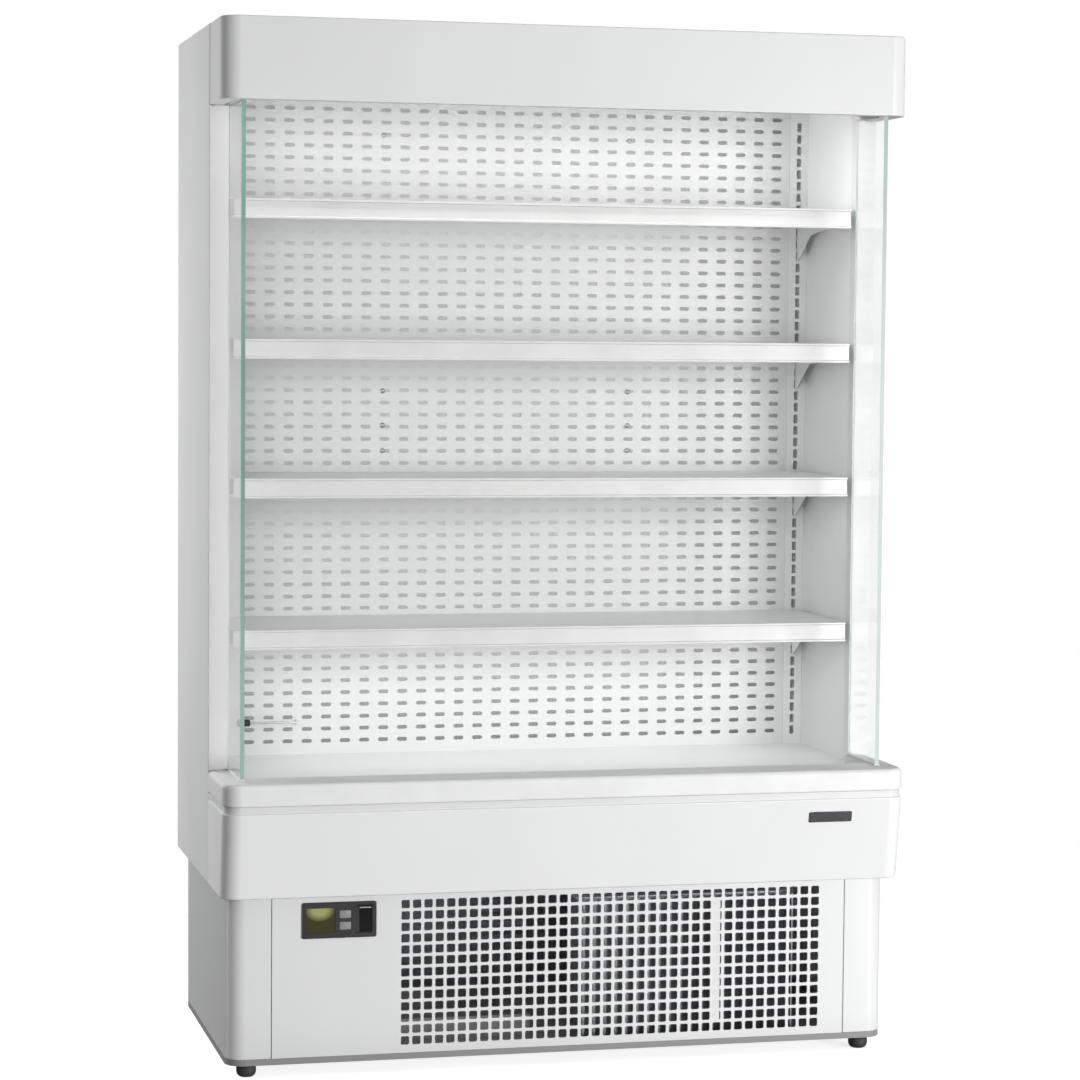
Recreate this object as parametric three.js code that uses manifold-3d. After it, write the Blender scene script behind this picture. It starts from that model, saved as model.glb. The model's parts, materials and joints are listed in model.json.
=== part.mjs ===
// Open multideck display fridge: an assembly of separate pieces.
// Millimetres. +Z up, +X to the right of someone facing it, front towards -Y.
// Origin on the floor, under the centre of the cabinet.

import * as THREE from 'three';
import { mergeVertices } from 'three/addons/utils/BufferGeometryUtils.js';
import Module from 'manifold-3d';

const wasm = await Module();
wasm.setup();

// ---------------------------------------------------------------- driving dimensions

const WIDTH = 1345;
const DEPTH = 680;
const HEIGHT = 2000;
const SEAT = 0.3; // clearance between two pieces that touch

// insulated body
const BODY_BOTTOM = 352;
const SIDE_WALL = 38;
const REAR_WALL = 45;
const ROOF = 40;
const WALL_SETBACK = 215; // side wall's front edge behind the bumper's nose
const TUB_RIM = 548;
const TUB_FLOOR = 40;
const TUB_FRONT = 72; // tub's front behind the bumper's nose
const TUB_WALL = 30;
const TUB_LINER = 5;

// bumper and fascia
const CORNER = 35; // outside radius of the cabinet's front corners
const CORNER_STEPS = 7;
const BUMPER_TOP = 572;
const BUMPER_HEIGHT = 42;
const BUMPER_SKIN = 3;
const GROOVE = 14; // shadow gap between bumper and fascia
const GROOVE_DEPTH = 4;
const FASCIA_LEAN = 27; // the fascia's bottom edge lies this far behind its top
const FASCIA_SKIN = 4.5;
const LEDGE = 95; // depth of the bumper's top ledge
const LEDGE_SIDE = 52;

// header
const HEADER_HEIGHT = 154;
const HEADER_SETBACK = 40;
const HEADER_SKIN = 3;
const HEADER_LIP = 25;

// glass end panels
const GLASS = 8;
const GLASS_SETBACK = 15; // behind the header's front

// display space
const PLENUM = 95; // air duct between the back panel and the rear wall
const BACK_SHEET = 1.5;
const UPRIGHT_WIDTH = 40;
const UPRIGHT_SHEET = 2;
const CEILING_DROP = 110; // ceiling under the top of the cabinet
const CEILING_SHEET = 2;
const CEILING_SETBACK = 150; // behind the bumper's nose
const DECK_TOP = 556;
const DECK_SHEET = 2;
const DECK_OVERHANG = 50; // the deck reaches this far in front of the side walls
const RETURN_SLOTS = 14;
const RETURN_SLOT_LENGTH = 72;
const RETURN_SLOT_WIDTH = 18;

// shelves
const SHELF_COUNT = 4;
const SHELF_DROP = 219; // top shelf under the ceiling
const DECK_ROOM = 280; // least height between the deck and the lowest shelf
const SHELF_END_GAP = 16.5;
const SHELF_SHEET = 2;
const SHELF_LIP = 36;
const SHELF_REAR_GAP = 10;
const RAIL_HEIGHT = 38;
const RAIL_DEPTH = 6.7;
const RAIL_WALL = 1.5;
const RAIL_GRIP = 4;
const BRACKET = 2.5;
const BRACKET_HEIGHT = 95;
const BRACKET_NOSE = 26;
const BRACKET_KNEE = 85;
const BRACKET_KNEE_HEIGHT = 42;

// slots of the uprights and the hooks that hang in them
const SLOT_PITCH = 24.4;
const SLOT_WIDTH = 5;
const SLOT_HEIGHT = 16;
const HOOK_DROP = 10; // upper hook's centre under the bracket's top
const HOOK_HEIGHT = 8;
const HOOK_REACH = 6;
const HOOK_SLOTS = 3; // slots between the upper and the lower hook

// perforation of the back panel
const VENT_WIDTH = 90;
const VENT_HEIGHT = 12;
const VENT_PITCH_X = 137;
const VENT_PITCH_Z = 148;
const VENT_MARGIN = 45;

// base
const BASE_INSET = 16;
const BASE_SETBACK = 69;
const BASE_REAR_SETBACK = 47;
const BASE_SKIN = 2;
const BASE_FRONT_STRIP = 84;
const BASE_REAR_FLANGE = 30;
const PANEL_GAP = 2;
const FOOT_HEIGHT = 26;
const FRAME_RIM_HEIGHT = 12;
const FRAME_RIM = 14;
const FRAME_SHEET = 2;

// levelling feet
const FOOT_RADIUS = 19;
const FOOT_STEM = 5;
const FOOT_STEM_LENGTH = 30;
const FOOT_HOLE = 5.6;
const FOOT_INSET_X = 41.5;
const FOOT_INSET_FRONT = 31;
const FOOT_INSET_REAR = 40;

// grille in the base's front panel
const GRILLE_LEFT_MARGIN = 246.5; // from the panel's left edge to the holes
const GRILLE_RIGHT_MARGIN = 48.5;
const GRILLE_BOTTOM = 52;
const GRILLE_TOP = 338;
const GRILLE_COLUMNS = 14;
const GRILLE_ROWS = 5;
const GRILLE_BAR = 14;

// controller
const CONTROL_MARGIN = 57.5; // from the panel's left edge
const CONTROL_WIDTH = 143;
const CONTROL_BOTTOM = 266;
const CONTROL_HEIGHT = 69;
const BEZEL = 3.7;
const BEZEL_OVERLAP = 5;
const CONTROL_DEPTH = 55;
const WINDOW_INSET = 7;
const WINDOW_WIDTH = 56;
const WINDOW_HEIGHT = 47;
const WINDOW_THICK = 1.4;
const KEY_LEFT = 71;
const KEY_WIDTH = 22;
const KEY_HEIGHT = 15;
const KEY_PROUD = 1.5;
const KEY_DEPTH = 8;
const KEY_SPACING = 22;
const ROCKER_LEFT = 110;
const ROCKER_WIDTH = 24;
const ROCKER_HEIGHT = 46;
const ROCKER_POCKET = 14;
const ROCKER_DISH = 2.5;
const ROCKER_TILT = THREE.MathUtils.degToRad(5);

// lamp
const LAMP_SETBACK = 170; // tube's axis behind the bumper's nose
const LAMP_DROP = 24; // tube's axis under the ceiling
const LAMP_RADIUS = 8;
const LAMP_HOLDER = 12;
const LAMP_HOLDER_DROP = 16;
const LAMP_END_GAP = 22;
const BATTEN_WIDTH = 34;
const BATTEN_HEIGHT = 13;

// air curtain outlet
const COMB_DEPTH = 60;
const COMB_HEIGHT = 20;
const COMB_COLUMNS = 18;
const COMB_ROWS = 2;
const COMB_WALL = 4;

// night blind
const ROLLER_RADIUS = 20;
const ROLLER_DROP = 95; // roller's axis under the top of the cabinet
const ROLLER_SETBACK = 66;
const ROLLER_PIN = 4;
const ROLLER_END_GAP = 52;
const HANGER = 3;
const HANGER_MARGIN = 12;
const HANGER_CLEARANCE = 4;
const BLIND_THICK = 0.5;
const BLIND_END_GAP = 68;
const PULL_BAR_RISE = 4; // bar's bottom over the header's bottom edge
const PULL_BAR_HEIGHT = 14;
const PULL_BAR_DEPTH = 18;
const PULL_BAR_END_GAP = 60;

// machine compartment
const COIL_MARGIN = 90.5; // from the panel's right edge
const COIL_WIDTH = 440;
const COIL_DEPTH = 60;
const COIL_SETBACK = 105;
const COIL_HEIGHT = 285;
const COIL_FINS = 20;
const FIN = 5;
const COIL_END = 3;
const SHROUD = 24;
const SHROUD_RING = 128;
const FAN_CLEARANCE = 8;
const FAN_HUB = 30;
const FAN_BLADES = 5;
const BLADE = 3;
const BLADE_CHORD = 62;
const BLADE_PITCH = THREE.MathUtils.degToRad(22);
const SHAFT = 4;
const SHAFT_END_GAP = 2;
const MOTOR_RADIUS = 36;
const MOTOR_LENGTH = 60;
const MOTOR_ARM = 8;
const COMPRESSOR_RADIUS = 88;
const COMPRESSOR_HEIGHT = 190;
const COMPRESSOR_SETBACK = 198; // compressor's axis in front of the rear panel
const COMPRESSOR_PLATE = 4;
const GROMMET_RADIUS = 12;
const GROMMET_HEIGHT = 12;
const PAN_MARGIN = 326.5; // from the base's left side
const PAN_WIDTH = 300;
const PAN_SETBACK = 151; // behind the base's front
const PAN_DEPTH = 300;
const PAN_HEIGHT = 42;

// evaporator under the deck
const EVAPORATOR_END_GAP = 114.2;
const EVAPORATOR_DEPTH = 180;
const EVAPORATOR_SETBACK = 340; // behind the bumper's nose
const EVAPORATOR_HEIGHT = 135;
const EVAPORATOR_FINS = 22;
const FAN_DECK_LEVEL = 500;
const FAN_DECK_SHEET = 2;
const FAN_DECK_HOLE = 98;
const FAN_SPACING = 600;
const FAN_SETBACK = 220; // behind the bumper's nose
const FAN_DEPTH = 26;

// louvres and cable gland of the rear panel
const LOUVRE_WIDTH = 110;
const LOUVRE_HEIGHT = 9;
const LOUVRE_PITCH = 30;
const LOUVRE_COLUMNS = 3;
const LOUVRE_ROWS = 5;
const LOUVRE_BOTTOM = 130;
const GLAND_RADIUS = 14;
const GLAND_BORE = 5;
const GLAND_LENGTH = 18;
const GLAND_MARGIN = 156.5; // from the base's left side
const GLAND_Z = 90;

// temperature probe on the back panel
const PROBE_MARGIN = 38.2; // from the left upright
const PROBE_LENGTH = 112;
const PROBE_RADIUS = 2;
const PROBE_GROMMET = 7;
const PROBE_LEVEL = 624;
const PROBE_STANDOFF = 8;

// ---------------------------------------------------------------- derived places

const HALF = WIDTH / 2;
const FRONT = -DEPTH / 2;
const BACK = DEPTH / 2;
const INNER = HALF - SIDE_WALL; // inside face of a side wall
const LINED = INNER - SEAT; // half width of what stands between the side walls
const WALL_FRONT = FRONT + WALL_SETBACK;
const RETURN_END = WALL_FRONT - SEAT; // rear end of the header's and fascia's side returns
const HEADER_FRONT = FRONT + HEADER_SETBACK;
const HEADER_BOTTOM = HEIGHT - HEADER_HEIGHT;
const REAR_INSIDE = BACK - REAR_WALL;
const PANEL_FRONT = REAR_INSIDE - PLENUM; // front plane of back panel and uprights
const BUMPER_BOTTOM = BUMPER_TOP - BUMPER_HEIGHT;
const FASCIA_TOP = BUMPER_BOTTOM - GROOVE;
const LEDGE_END = FRONT + LEDGE;
const LEDGE_INNER = HALF - LEDGE_SIDE;
const DECK_FRONT = WALL_FRONT - DECK_OVERHANG;
const BASE_HALF = HALF - BASE_INSET;
const BASE_FRONT = FRONT + BASE_SETBACK;
const BASE_BACK = BACK - BASE_REAR_SETBACK;
const FRAME_TOP = FOOT_HEIGHT + FRAME_RIM_HEIGHT;
const FRAME_FLOOR = FOOT_HEIGHT + FRAME_SHEET;
const PANEL_HALF = BASE_HALF - BASE_FRONT_STRIP - PANEL_GAP; // half width of the base's front panel
const GRILLE_LEFT = -PANEL_HALF + GRILLE_LEFT_MARGIN;
const GRILLE_RIGHT = PANEL_HALF - GRILLE_RIGHT_MARGIN;
const CONTROL_LEFT = -PANEL_HALF + CONTROL_MARGIN;
const CEILING = HEIGHT - CEILING_DROP;
const CEILING_FRONT = FRONT + CEILING_SETBACK;
const CEILING_TOP = CEILING + CEILING_SHEET;
const UPRIGHT_INNER = LINED - UPRIGHT_WIDTH;
const UPRIGHT_BOTTOM = TUB_RIM + SEAT;
const UPRIGHT_TOP = CEILING - SEAT;
const BRACKET_X = LINED - UPRIGHT_WIDTH / 2 - BRACKET;
const SHELF_HALF = INNER - SHELF_END_GAP;
const SHELF_FRONT = WALL_FRONT + RAIL_DEPTH + SEAT;
const TOP_SHELF = CEILING - SHELF_DROP;
const SLOTS_BELOW = Math.floor((TOP_SHELF - DECK_TOP - DECK_ROOM) / SLOT_PITCH);
const SHELF_SLOTS = Math.floor(SLOTS_BELOW / (SHELF_COUNT - 1)); // upright slots between two shelves
const LAMP_LEVEL = CEILING - LAMP_DROP;
const ROLLER_LEVEL = HEIGHT - ROLLER_DROP;
const PULL_BAR_LEVEL = HEADER_BOTTOM + PULL_BAR_RISE;
const EVAPORATOR_FRONT = FRONT + EVAPORATOR_SETBACK;
const EVAPORATOR_HALF = LINED - EVAPORATOR_END_GAP;
const FAN_CENTRE_Y = FRONT + FAN_SETBACK;
const COIL_LEFT = PANEL_HALF - COIL_MARGIN - COIL_WIDTH;
const COMPRESSOR_X = COIL_LEFT + COIL_WIDTH / 2;
const COMPRESSOR_Y = BASE_BACK - COMPRESSOR_SETBACK;
const PAN_LEFT = -BASE_HALF + PAN_MARGIN;
const PAN_FRONT = BASE_FRONT + PAN_SETBACK;
const GLAND_X = -BASE_HALF + GLAND_MARGIN;
const PROBE_LEFT = -UPRIGHT_INNER + PROBE_MARGIN;
const CONTROL_MID = CONTROL_BOTTOM + CONTROL_HEIGHT / 2;

// ---------------------------------------------------------------- materials

function finish(color, roughness, metalness = 0, extra = {}) {
  return new THREE.MeshStandardMaterial({ color, roughness, metalness, ...extra });
}

const PAINT = finish(0xeeefef, 0.35);
const SIDE_PAINT = finish(0xd9dadb, 0.45);
const INNER_PAINT = finish(0xf4f5f5, 0.3);
const PLASTIC = finish(0xf2f2f0, 0.4);
const DARK_PLASTIC = finish(0x2b2b29, 0.45);
const KEY_GREY = finish(0x8d8f90, 0.5);
const DISPLAY = finish(0x7e8440, 0.2);
const FRAME_STEEL = finish(0x5d5f61, 0.5, 0.6);
const GALVANISED = finish(0xb4b8ba, 0.4, 0.8);
const ALUMINIUM = finish(0xc9cccd, 0.35, 0.9);
const BLACK_STEEL = finish(0x1d1e20, 0.45, 0.4);
const RUBBER = finish(0x333333, 0.8);
const GLASS_CLEAR = finish(0xbfe0d4, 0.05, 0, { transparent: true, opacity: 0.3 });
const LAMP_WHITE = finish(0xffffff, 0.3);
const BLIND_CLOTH = finish(0xe4e4e0, 0.9);

// ---------------------------------------------------------------- geometry helpers

function block([x0, x1], [y0, y1], [z0, z1]) {
  const geometry = new THREE.BoxGeometry(x1 - x0, y1 - y0, z1 - z0);
  return geometry.translate((x0 + x1) / 2, (y0 + y1) / 2, (z0 + z1) / 2);
}

function prism(points, start, end) {
  const shape = new THREE.Shape(points.map(([a, b]) => new THREE.Vector2(a, b)));
  const options = { bevelEnabled: false, steps: 1, depth: end - start };
  return new THREE.ExtrudeGeometry(shape, options).translate(0, 0, start);
}

// Outline with holes punched right through it.
function extrude(points, length, holes) {
  const solid = prism(points, 0, length);
  return holes.length === 0 ? solid : cut(solid, ...holes.map((hole) => prism(hole, -1, length + 1)));
}

// Outline in the XY plane, raised from z0 to z1.
function extrudeZ(points, [z0, z1], holes = []) {
  return extrude(points, z1 - z0, holes).translate(0, 0, z0);
}

// Outline given as (y, z), running from x0 to x1.
function extrudeX(points, [x0, x1], holes = []) {
  const turn = new THREE.Matrix4().makeBasis(
    new THREE.Vector3(0, 1, 0),
    new THREE.Vector3(0, 0, 1),
    new THREE.Vector3(1, 0, 0),
  );
  return extrude(points, x1 - x0, holes).applyMatrix4(turn).translate(x0, 0, 0);
}

// Outline given as (x, z), running from y0 to y1.
function extrudeY(points, [y0, y1], holes = []) {
  const turn = new THREE.Matrix4().makeBasis(
    new THREE.Vector3(1, 0, 0),
    new THREE.Vector3(0, 0, 1),
    new THREE.Vector3(0, -1, 0),
  );
  return extrude(points, y1 - y0, holes).applyMatrix4(turn).translate(0, y1, 0);
}

function rectangle([a0, a1], [b0, b1]) {
  return [[a0, b0], [a1, b0], [a1, b1], [a0, b1]];
}

function circle(a, b, radius, sides = 20) {
  return Array.from({ length: sides }, (_, i) => {
    const angle = (2 * Math.PI * i) / sides;
    return [a + radius * Math.cos(angle), b + radius * Math.sin(angle)];
  });
}

function discX(y, z, radius, x, sides) {
  return extrudeX(circle(y, z, radius, sides), x);
}

function discY(x, z, radius, y, sides) {
  return extrudeY(circle(x, z, radius, sides), y);
}

function discZ(x, y, radius, z, sides) {
  return extrudeZ(circle(x, y, radius, sides), z);
}

// A grid of equal rectangular holes that fills a field, margins shared out evenly.
function holeGrid([a0, a1], [b0, b1], columns, rows, width, height) {
  const holes = [];
  const pitchA = (a1 - a0) / columns;
  const pitchB = (b1 - b0) / rows;
  for (let i = 0; i < columns; i += 1) {
    for (let j = 0; j < rows; j += 1) {
      const a = a0 + (i + 0.5) * pitchA;
      const b = b0 + (j + 0.5) * pitchB;
      holes.push(rectangle([a - width / 2, a + width / 2], [b - height / 2, b + height / 2]));
    }
  }
  return holes;
}

function toSolid(geometry) {
  const bare = geometry.clone();
  bare.deleteAttribute('normal');
  bare.deleteAttribute('uv');
  const merged = mergeVertices(bare, 1e-4);
  return new wasm.Manifold(new wasm.Mesh({
    numProp: 3,
    vertProperties: new Float32Array(merged.attributes.position.array),
    triVerts: new Uint32Array(merged.index.array),
  }));
}

function toGeometry(solid) {
  const mesh = solid.getMesh();
  const geometry = new THREE.BufferGeometry();
  geometry.setAttribute('position', new THREE.BufferAttribute(mesh.vertProperties, 3));
  geometry.setIndex(new THREE.BufferAttribute(mesh.triVerts, 1));
  geometry.computeVertexNormals();
  return geometry;
}

function join(first, ...others) {
  return toGeometry(others.reduce((solid, other) => solid.add(toSolid(other)), toSolid(first)));
}

function cut(first, ...tools) {
  return toGeometry(tools.reduce((solid, tool) => solid.subtract(toSolid(tool)), toSolid(first)));
}

// Plan of a skin's face that wraps the front: side, round corner, front, round corner, side.
function wrapPath(half, front, rear, radius) {
  const points = [[-half, rear]];
  const corner = (centreX, from) => {
    for (let i = 0; i <= CORNER_STEPS; i += 1) {
      const angle = from + (Math.PI / 2) * (i / CORNER_STEPS);
      const y = front + radius + radius * Math.sin(angle);
      points.push([centreX + radius * Math.cos(angle), y]);
    }
  };
  corner(-half + radius, Math.PI);
  corner(half - radius, 1.5 * Math.PI);
  points.push([half, rear]);
  return points;
}

// Closed plan of a skin of even thickness round the front.
function wrapSkin(half, front, rear, radius, skin) {
  const inner = wrapPath(half - skin, front + skin, rear, radius - skin);
  return [...wrapPath(half, front, rear, radius), ...inner.reverse()];
}

// Solid between two plans with the same number of points, at two levels.
function loft(bottom, top, [z0, z1]) {
  const count = bottom.length;
  const positions = [...bottom.map(([x, y]) => [x, y, z0]), ...top.map(([x, y]) => [x, y, z1])];
  const faces = [];
  const cap = (plan) => {
    const vectors = plan.map(([x, y]) => new THREE.Vector2(x, y));
    return THREE.ShapeUtils.triangulateShape(vectors, []);
  };
  cap(bottom).forEach(([a, b, c]) => faces.push(a, c, b));
  cap(top).forEach(([a, b, c]) => faces.push(a + count, b + count, c + count));
  for (let i = 0; i < count; i += 1) {
    const next = (i + 1) % count;
    faces.push(i, next, next + count, i, next + count, i + count);
  }
  const geometry = new THREE.BufferGeometry();
  geometry.setAttribute('position', new THREE.Float32BufferAttribute(positions.flat(), 3));
  geometry.setIndex(faces);
  return geometry;
}

// ---------------------------------------------------------------- assembly

const fridge = new THREE.Group();

function piece(name, geometry, material) {
  const mesh = new THREE.Mesh(geometry, material);
  mesh.name = name;
  fridge.add(mesh);
  return mesh;
}

const SIDES = [['left', -1], ['right', 1]];

// A span in X measured from the middle outwards, on the given side.
function sideSpan(side, inner, outer) {
  return side < 0 ? [-outer, -inner] : [inner, outer];
}

// ---------------------------------------------------------------- insulated body

function buildTub() {
  const wide = HALF - GROOVE_DEPTH - FASCIA_SKIN - SEAT;
  const tubFront = FRONT + TUB_FRONT;
  const rear = REAR_INSIDE - SEAT;
  const step = WALL_FRONT - SEAT;
  const plan = [
    [-wide, tubFront], [wide, tubFront], [wide, step], [LINED, step],
    [LINED, rear], [-LINED, rear], [-LINED, step], [-wide, step],
  ];
  const cavity = LINED - TUB_LINER;
  const hollow = block([-cavity, cavity], [tubFront + TUB_WALL, rear - TUB_WALL],
    [BODY_BOTTOM + TUB_FLOOR, TUB_RIM + 1]);
  piece('tub', cut(extrudeZ(plan, [BODY_BOTTOM, TUB_RIM]), hollow), INNER_PAINT);
}

function buildWalls() {
  for (const [name, side] of SIDES) {
    const wall = block(sideSpan(side, INNER, HALF), [WALL_FRONT, BACK], [BODY_BOTTOM, HEIGHT]);
    piece(`side_wall_${name}`, wall, SIDE_PAINT);
  }
  piece('rear_wall', block([-LINED, LINED], [REAR_INSIDE, BACK], [BODY_BOTTOM, HEIGHT]), SIDE_PAINT);
  const roof = block([-LINED, LINED], [WALL_FRONT, REAR_INSIDE - SEAT], [HEIGHT - ROOF, HEIGHT]);
  piece('roof_panel', roof, SIDE_PAINT);
}

// ---------------------------------------------------------------- front

function buildFascia() {
  const frontAtBottom = FRONT + FASCIA_LEAN;
  const bottom = wrapSkin(HALF, frontAtBottom, RETURN_END, CORNER, FASCIA_SKIN);
  const top = wrapSkin(HALF, FRONT, RETURN_END, CORNER, FASCIA_SKIN);
  const skin = loft(bottom, top, [BODY_BOTTOM, FASCIA_TOP]);
  const neckHalf = HALF - GROOVE_DEPTH;
  const neckFront = FRONT + GROOVE_DEPTH;
  const neckPlan = wrapSkin(neckHalf, neckFront, RETURN_END, CORNER - GROOVE_DEPTH, FASCIA_SKIN);
  const neck = extrudeZ(neckPlan, [FASCIA_TOP - 2 * GROOVE_DEPTH, BUMPER_BOTTOM - SEAT]);
  const flangeHalf = HALF - FASCIA_SKIN / 2;
  const flange = block([-flangeHalf + CORNER, flangeHalf - CORNER],
    [frontAtBottom + FASCIA_SKIN / 2, FRONT + TUB_FRONT - SEAT],
    [BODY_BOTTOM, BODY_BOTTOM + FASCIA_SKIN]);
  piece('fascia_panel', join(skin, neck, flange), PAINT);
}

function buildBumper() {
  const skinPlan = wrapSkin(HALF, FRONT, RETURN_END, CORNER, BUMPER_SKIN);
  const skin = extrudeZ(skinPlan, [BUMPER_BOTTOM, BUMPER_TOP]);
  const opening = [[LEDGE_INNER, RETURN_END], [LEDGE_INNER, LEDGE_END],
    [-LEDGE_INNER, LEDGE_END], [-LEDGE_INNER, RETURN_END]];
  const ledgePlan = [...wrapPath(HALF, FRONT, RETURN_END, CORNER), ...opening];
  const ledge = extrudeZ(ledgePlan, [BUMPER_TOP - BUMPER_SKIN, BUMPER_TOP]);
  const outward = LEDGE_INNER + BUMPER_SKIN;
  const kerbPlan = [...opening, [-outward, RETURN_END], [-outward, LEDGE_END - BUMPER_SKIN],
    [outward, LEDGE_END - BUMPER_SKIN], [outward, RETURN_END]];
  const kerb = extrudeZ(kerbPlan, [TUB_RIM + SEAT, BUMPER_TOP]);
  piece('bumper_rail', join(skin, ledge, kerb), PLASTIC);
}

function buildHeader() {
  const skinPlan = wrapSkin(HALF, HEADER_FRONT, RETURN_END, CORNER, HEADER_SKIN);
  const skin = extrudeZ(skinPlan, [HEADER_BOTTOM, HEIGHT]);
  const outline = wrapPath(HALF, HEADER_FRONT, RETURN_END, CORNER);
  const lid = extrudeZ(outline, [HEIGHT - HEADER_SKIN, HEIGHT]);
  const lipPlan = wrapSkin(HALF, HEADER_FRONT, RETURN_END, CORNER, HEADER_LIP);
  const lip = extrudeZ(lipPlan, [HEADER_BOTTOM, HEADER_BOTTOM + HEADER_SKIN]);
  const rollerY = FRONT + ROLLER_SETBACK;
  const hangers = SIDES.map(([, side]) => {
    const inner = HALF - ROLLER_END_GAP + HANGER_CLEARANCE;
    const reach = ROLLER_PIN + HANGER_MARGIN / 2;
    const plate = rectangle([rollerY - reach, rollerY + reach],
      [ROLLER_LEVEL - reach, HEIGHT - HEADER_SKIN / 2]);
    const bore = circle(rollerY, ROLLER_LEVEL, ROLLER_PIN + SEAT, 16);
    return extrudeX(plate, sideSpan(side, inner, inner + HANGER), [bore]);
  });
  piece('header_fascia', join(skin, lid, lip, ...hangers), PAINT);
}

function buildGlass() {
  for (const [name, side] of SIDES) {
    const pane = block(sideSpan(side, INNER - GLASS, INNER),
      [HEADER_FRONT + GLASS_SETBACK, WALL_FRONT - SEAT],
      [BUMPER_TOP + SEAT, HEADER_BOTTOM - SEAT]);
    piece(`glass_${name}`, pane, GLASS_CLEAR);
  }
}

// ---------------------------------------------------------------- display space

function buildBackPanel() {
  const half = UPRIGHT_INNER - SEAT;
  const bottom = DECK_TOP - DECK_SHEET;
  const fieldX = [-half + VENT_MARGIN, half - VENT_MARGIN];
  const fieldZ = [bottom + VENT_MARGIN, UPRIGHT_TOP - VENT_MARGIN];
  const columns = Math.round((fieldX[1] - fieldX[0]) / VENT_PITCH_X);
  const rows = Math.round((fieldZ[1] - fieldZ[0]) / VENT_PITCH_Z);
  const vents = holeGrid(fieldX, fieldZ, columns, rows, VENT_WIDTH, VENT_HEIGHT);
  const sheet = extrudeY(rectangle([-half, half], [bottom, UPRIGHT_TOP]),
    [PANEL_FRONT, PANEL_FRONT + BACK_SHEET], vents);
  piece('back_panel', sheet, INNER_PAINT);
}

// Level of the upper hook of a shelf's brackets.
function hookLevel(shelfTop) {
  return shelfTop - SHELF_SHEET - SEAT - HOOK_DROP;
}

function buildUprights() {
  const slots = [];
  const first = hookLevel(TOP_SHELF);
  const down = Math.floor((first - UPRIGHT_BOTTOM - SLOT_HEIGHT) / SLOT_PITCH);
  const up = Math.floor((UPRIGHT_TOP - first - SLOT_HEIGHT) / SLOT_PITCH);
  for (let i = -down; i <= up; i += 1) {
    slots.push(first + i * SLOT_PITCH);
  }
  for (const [name, side] of SIDES) {
    const middle = side * (BRACKET_X + BRACKET / 2);
    const holes = slots.map((z) => rectangle([middle - SLOT_WIDTH / 2, middle + SLOT_WIDTH / 2],
      [z - SLOT_HEIGHT / 2, z + SLOT_HEIGHT / 2]));
    const face = extrudeY(rectangle(sideSpan(side, UPRIGHT_INNER, LINED), [UPRIGHT_BOTTOM, UPRIGHT_TOP]),
      [PANEL_FRONT, PANEL_FRONT + UPRIGHT_SHEET], holes);
    const web = block(sideSpan(side, LINED - UPRIGHT_SHEET, LINED),
      [PANEL_FRONT + UPRIGHT_SHEET / 2, REAR_INSIDE - SEAT], [UPRIGHT_BOTTOM, UPRIGHT_TOP]);
    piece(`upright_${name}`, join(face, web), INNER_PAINT);
  }
}

function buildCeiling() {
  const drop = COMB_HEIGHT + CEILING_SHEET;
  const profile = [
    [CEILING_FRONT, CEILING_TOP], [CEILING_FRONT, CEILING_TOP - drop],
    [CEILING_FRONT + CEILING_SHEET, CEILING_TOP - drop], [CEILING_FRONT + CEILING_SHEET, CEILING],
    [PANEL_FRONT + UPRIGHT_SHEET, CEILING], [PANEL_FRONT + UPRIGHT_SHEET, CEILING_TOP],
  ];
  piece('ceiling_panel', extrudeX(profile, [-LINED, LINED]), INNER_PAINT);
}

function buildComb() {
  const depth = [CEILING_FRONT - SEAT - COMB_DEPTH, CEILING_FRONT - SEAT];
  const cellX = (2 * LINED) / COMB_COLUMNS - COMB_WALL;
  const cellY = COMB_DEPTH / COMB_ROWS - COMB_WALL;
  const cells = holeGrid([-LINED, LINED], depth, COMB_COLUMNS, COMB_ROWS, cellX, cellY);
  const comb = extrudeZ(rectangle([-LINED, LINED], depth), [CEILING - COMB_HEIGHT, CEILING], cells);
  piece('air_honeycomb', comb, PLASTIC);
}

function buildDeck() {
  const narrow = LEDGE_INNER - SEAT;
  const rear = PANEL_FRONT - SEAT;
  const step = WALL_FRONT + SEAT;
  const plan = [
    [-narrow, DECK_FRONT], [narrow, DECK_FRONT], [narrow, step], [LINED, step],
    [LINED, rear], [-LINED, rear], [-LINED, step], [-narrow, step],
  ];
  const top = extrudeZ(plan, [DECK_TOP - DECK_SHEET, DECK_TOP]);
  const flanges = SIDES.map(([, side]) => block(sideSpan(side, LINED - TUB_LINER, LINED),
    [step, rear], [TUB_RIM + SEAT, DECK_TOP]));
  piece('deck_tray', join(top, ...flanges), INNER_PAINT);
}

function buildReturnGrille() {
  const half = LEDGE_INNER - SEAT;
  const depth = [LEDGE_END + SEAT, DECK_FRONT - SEAT];
  const slots = holeGrid([-half, half], depth, RETURN_SLOTS, 2, RETURN_SLOT_LENGTH, RETURN_SLOT_WIDTH);
  const plate = extrudeZ(rectangle([-half, half], depth), [DECK_TOP - DECK_SHEET, DECK_TOP], slots);
  const foot = block([-half, half], [depth[0], depth[0] + DECK_SHEET], [TUB_RIM + SEAT, DECK_TOP]);
  piece('return_air_grille', join(plate, foot), INNER_PAINT);
}

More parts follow.
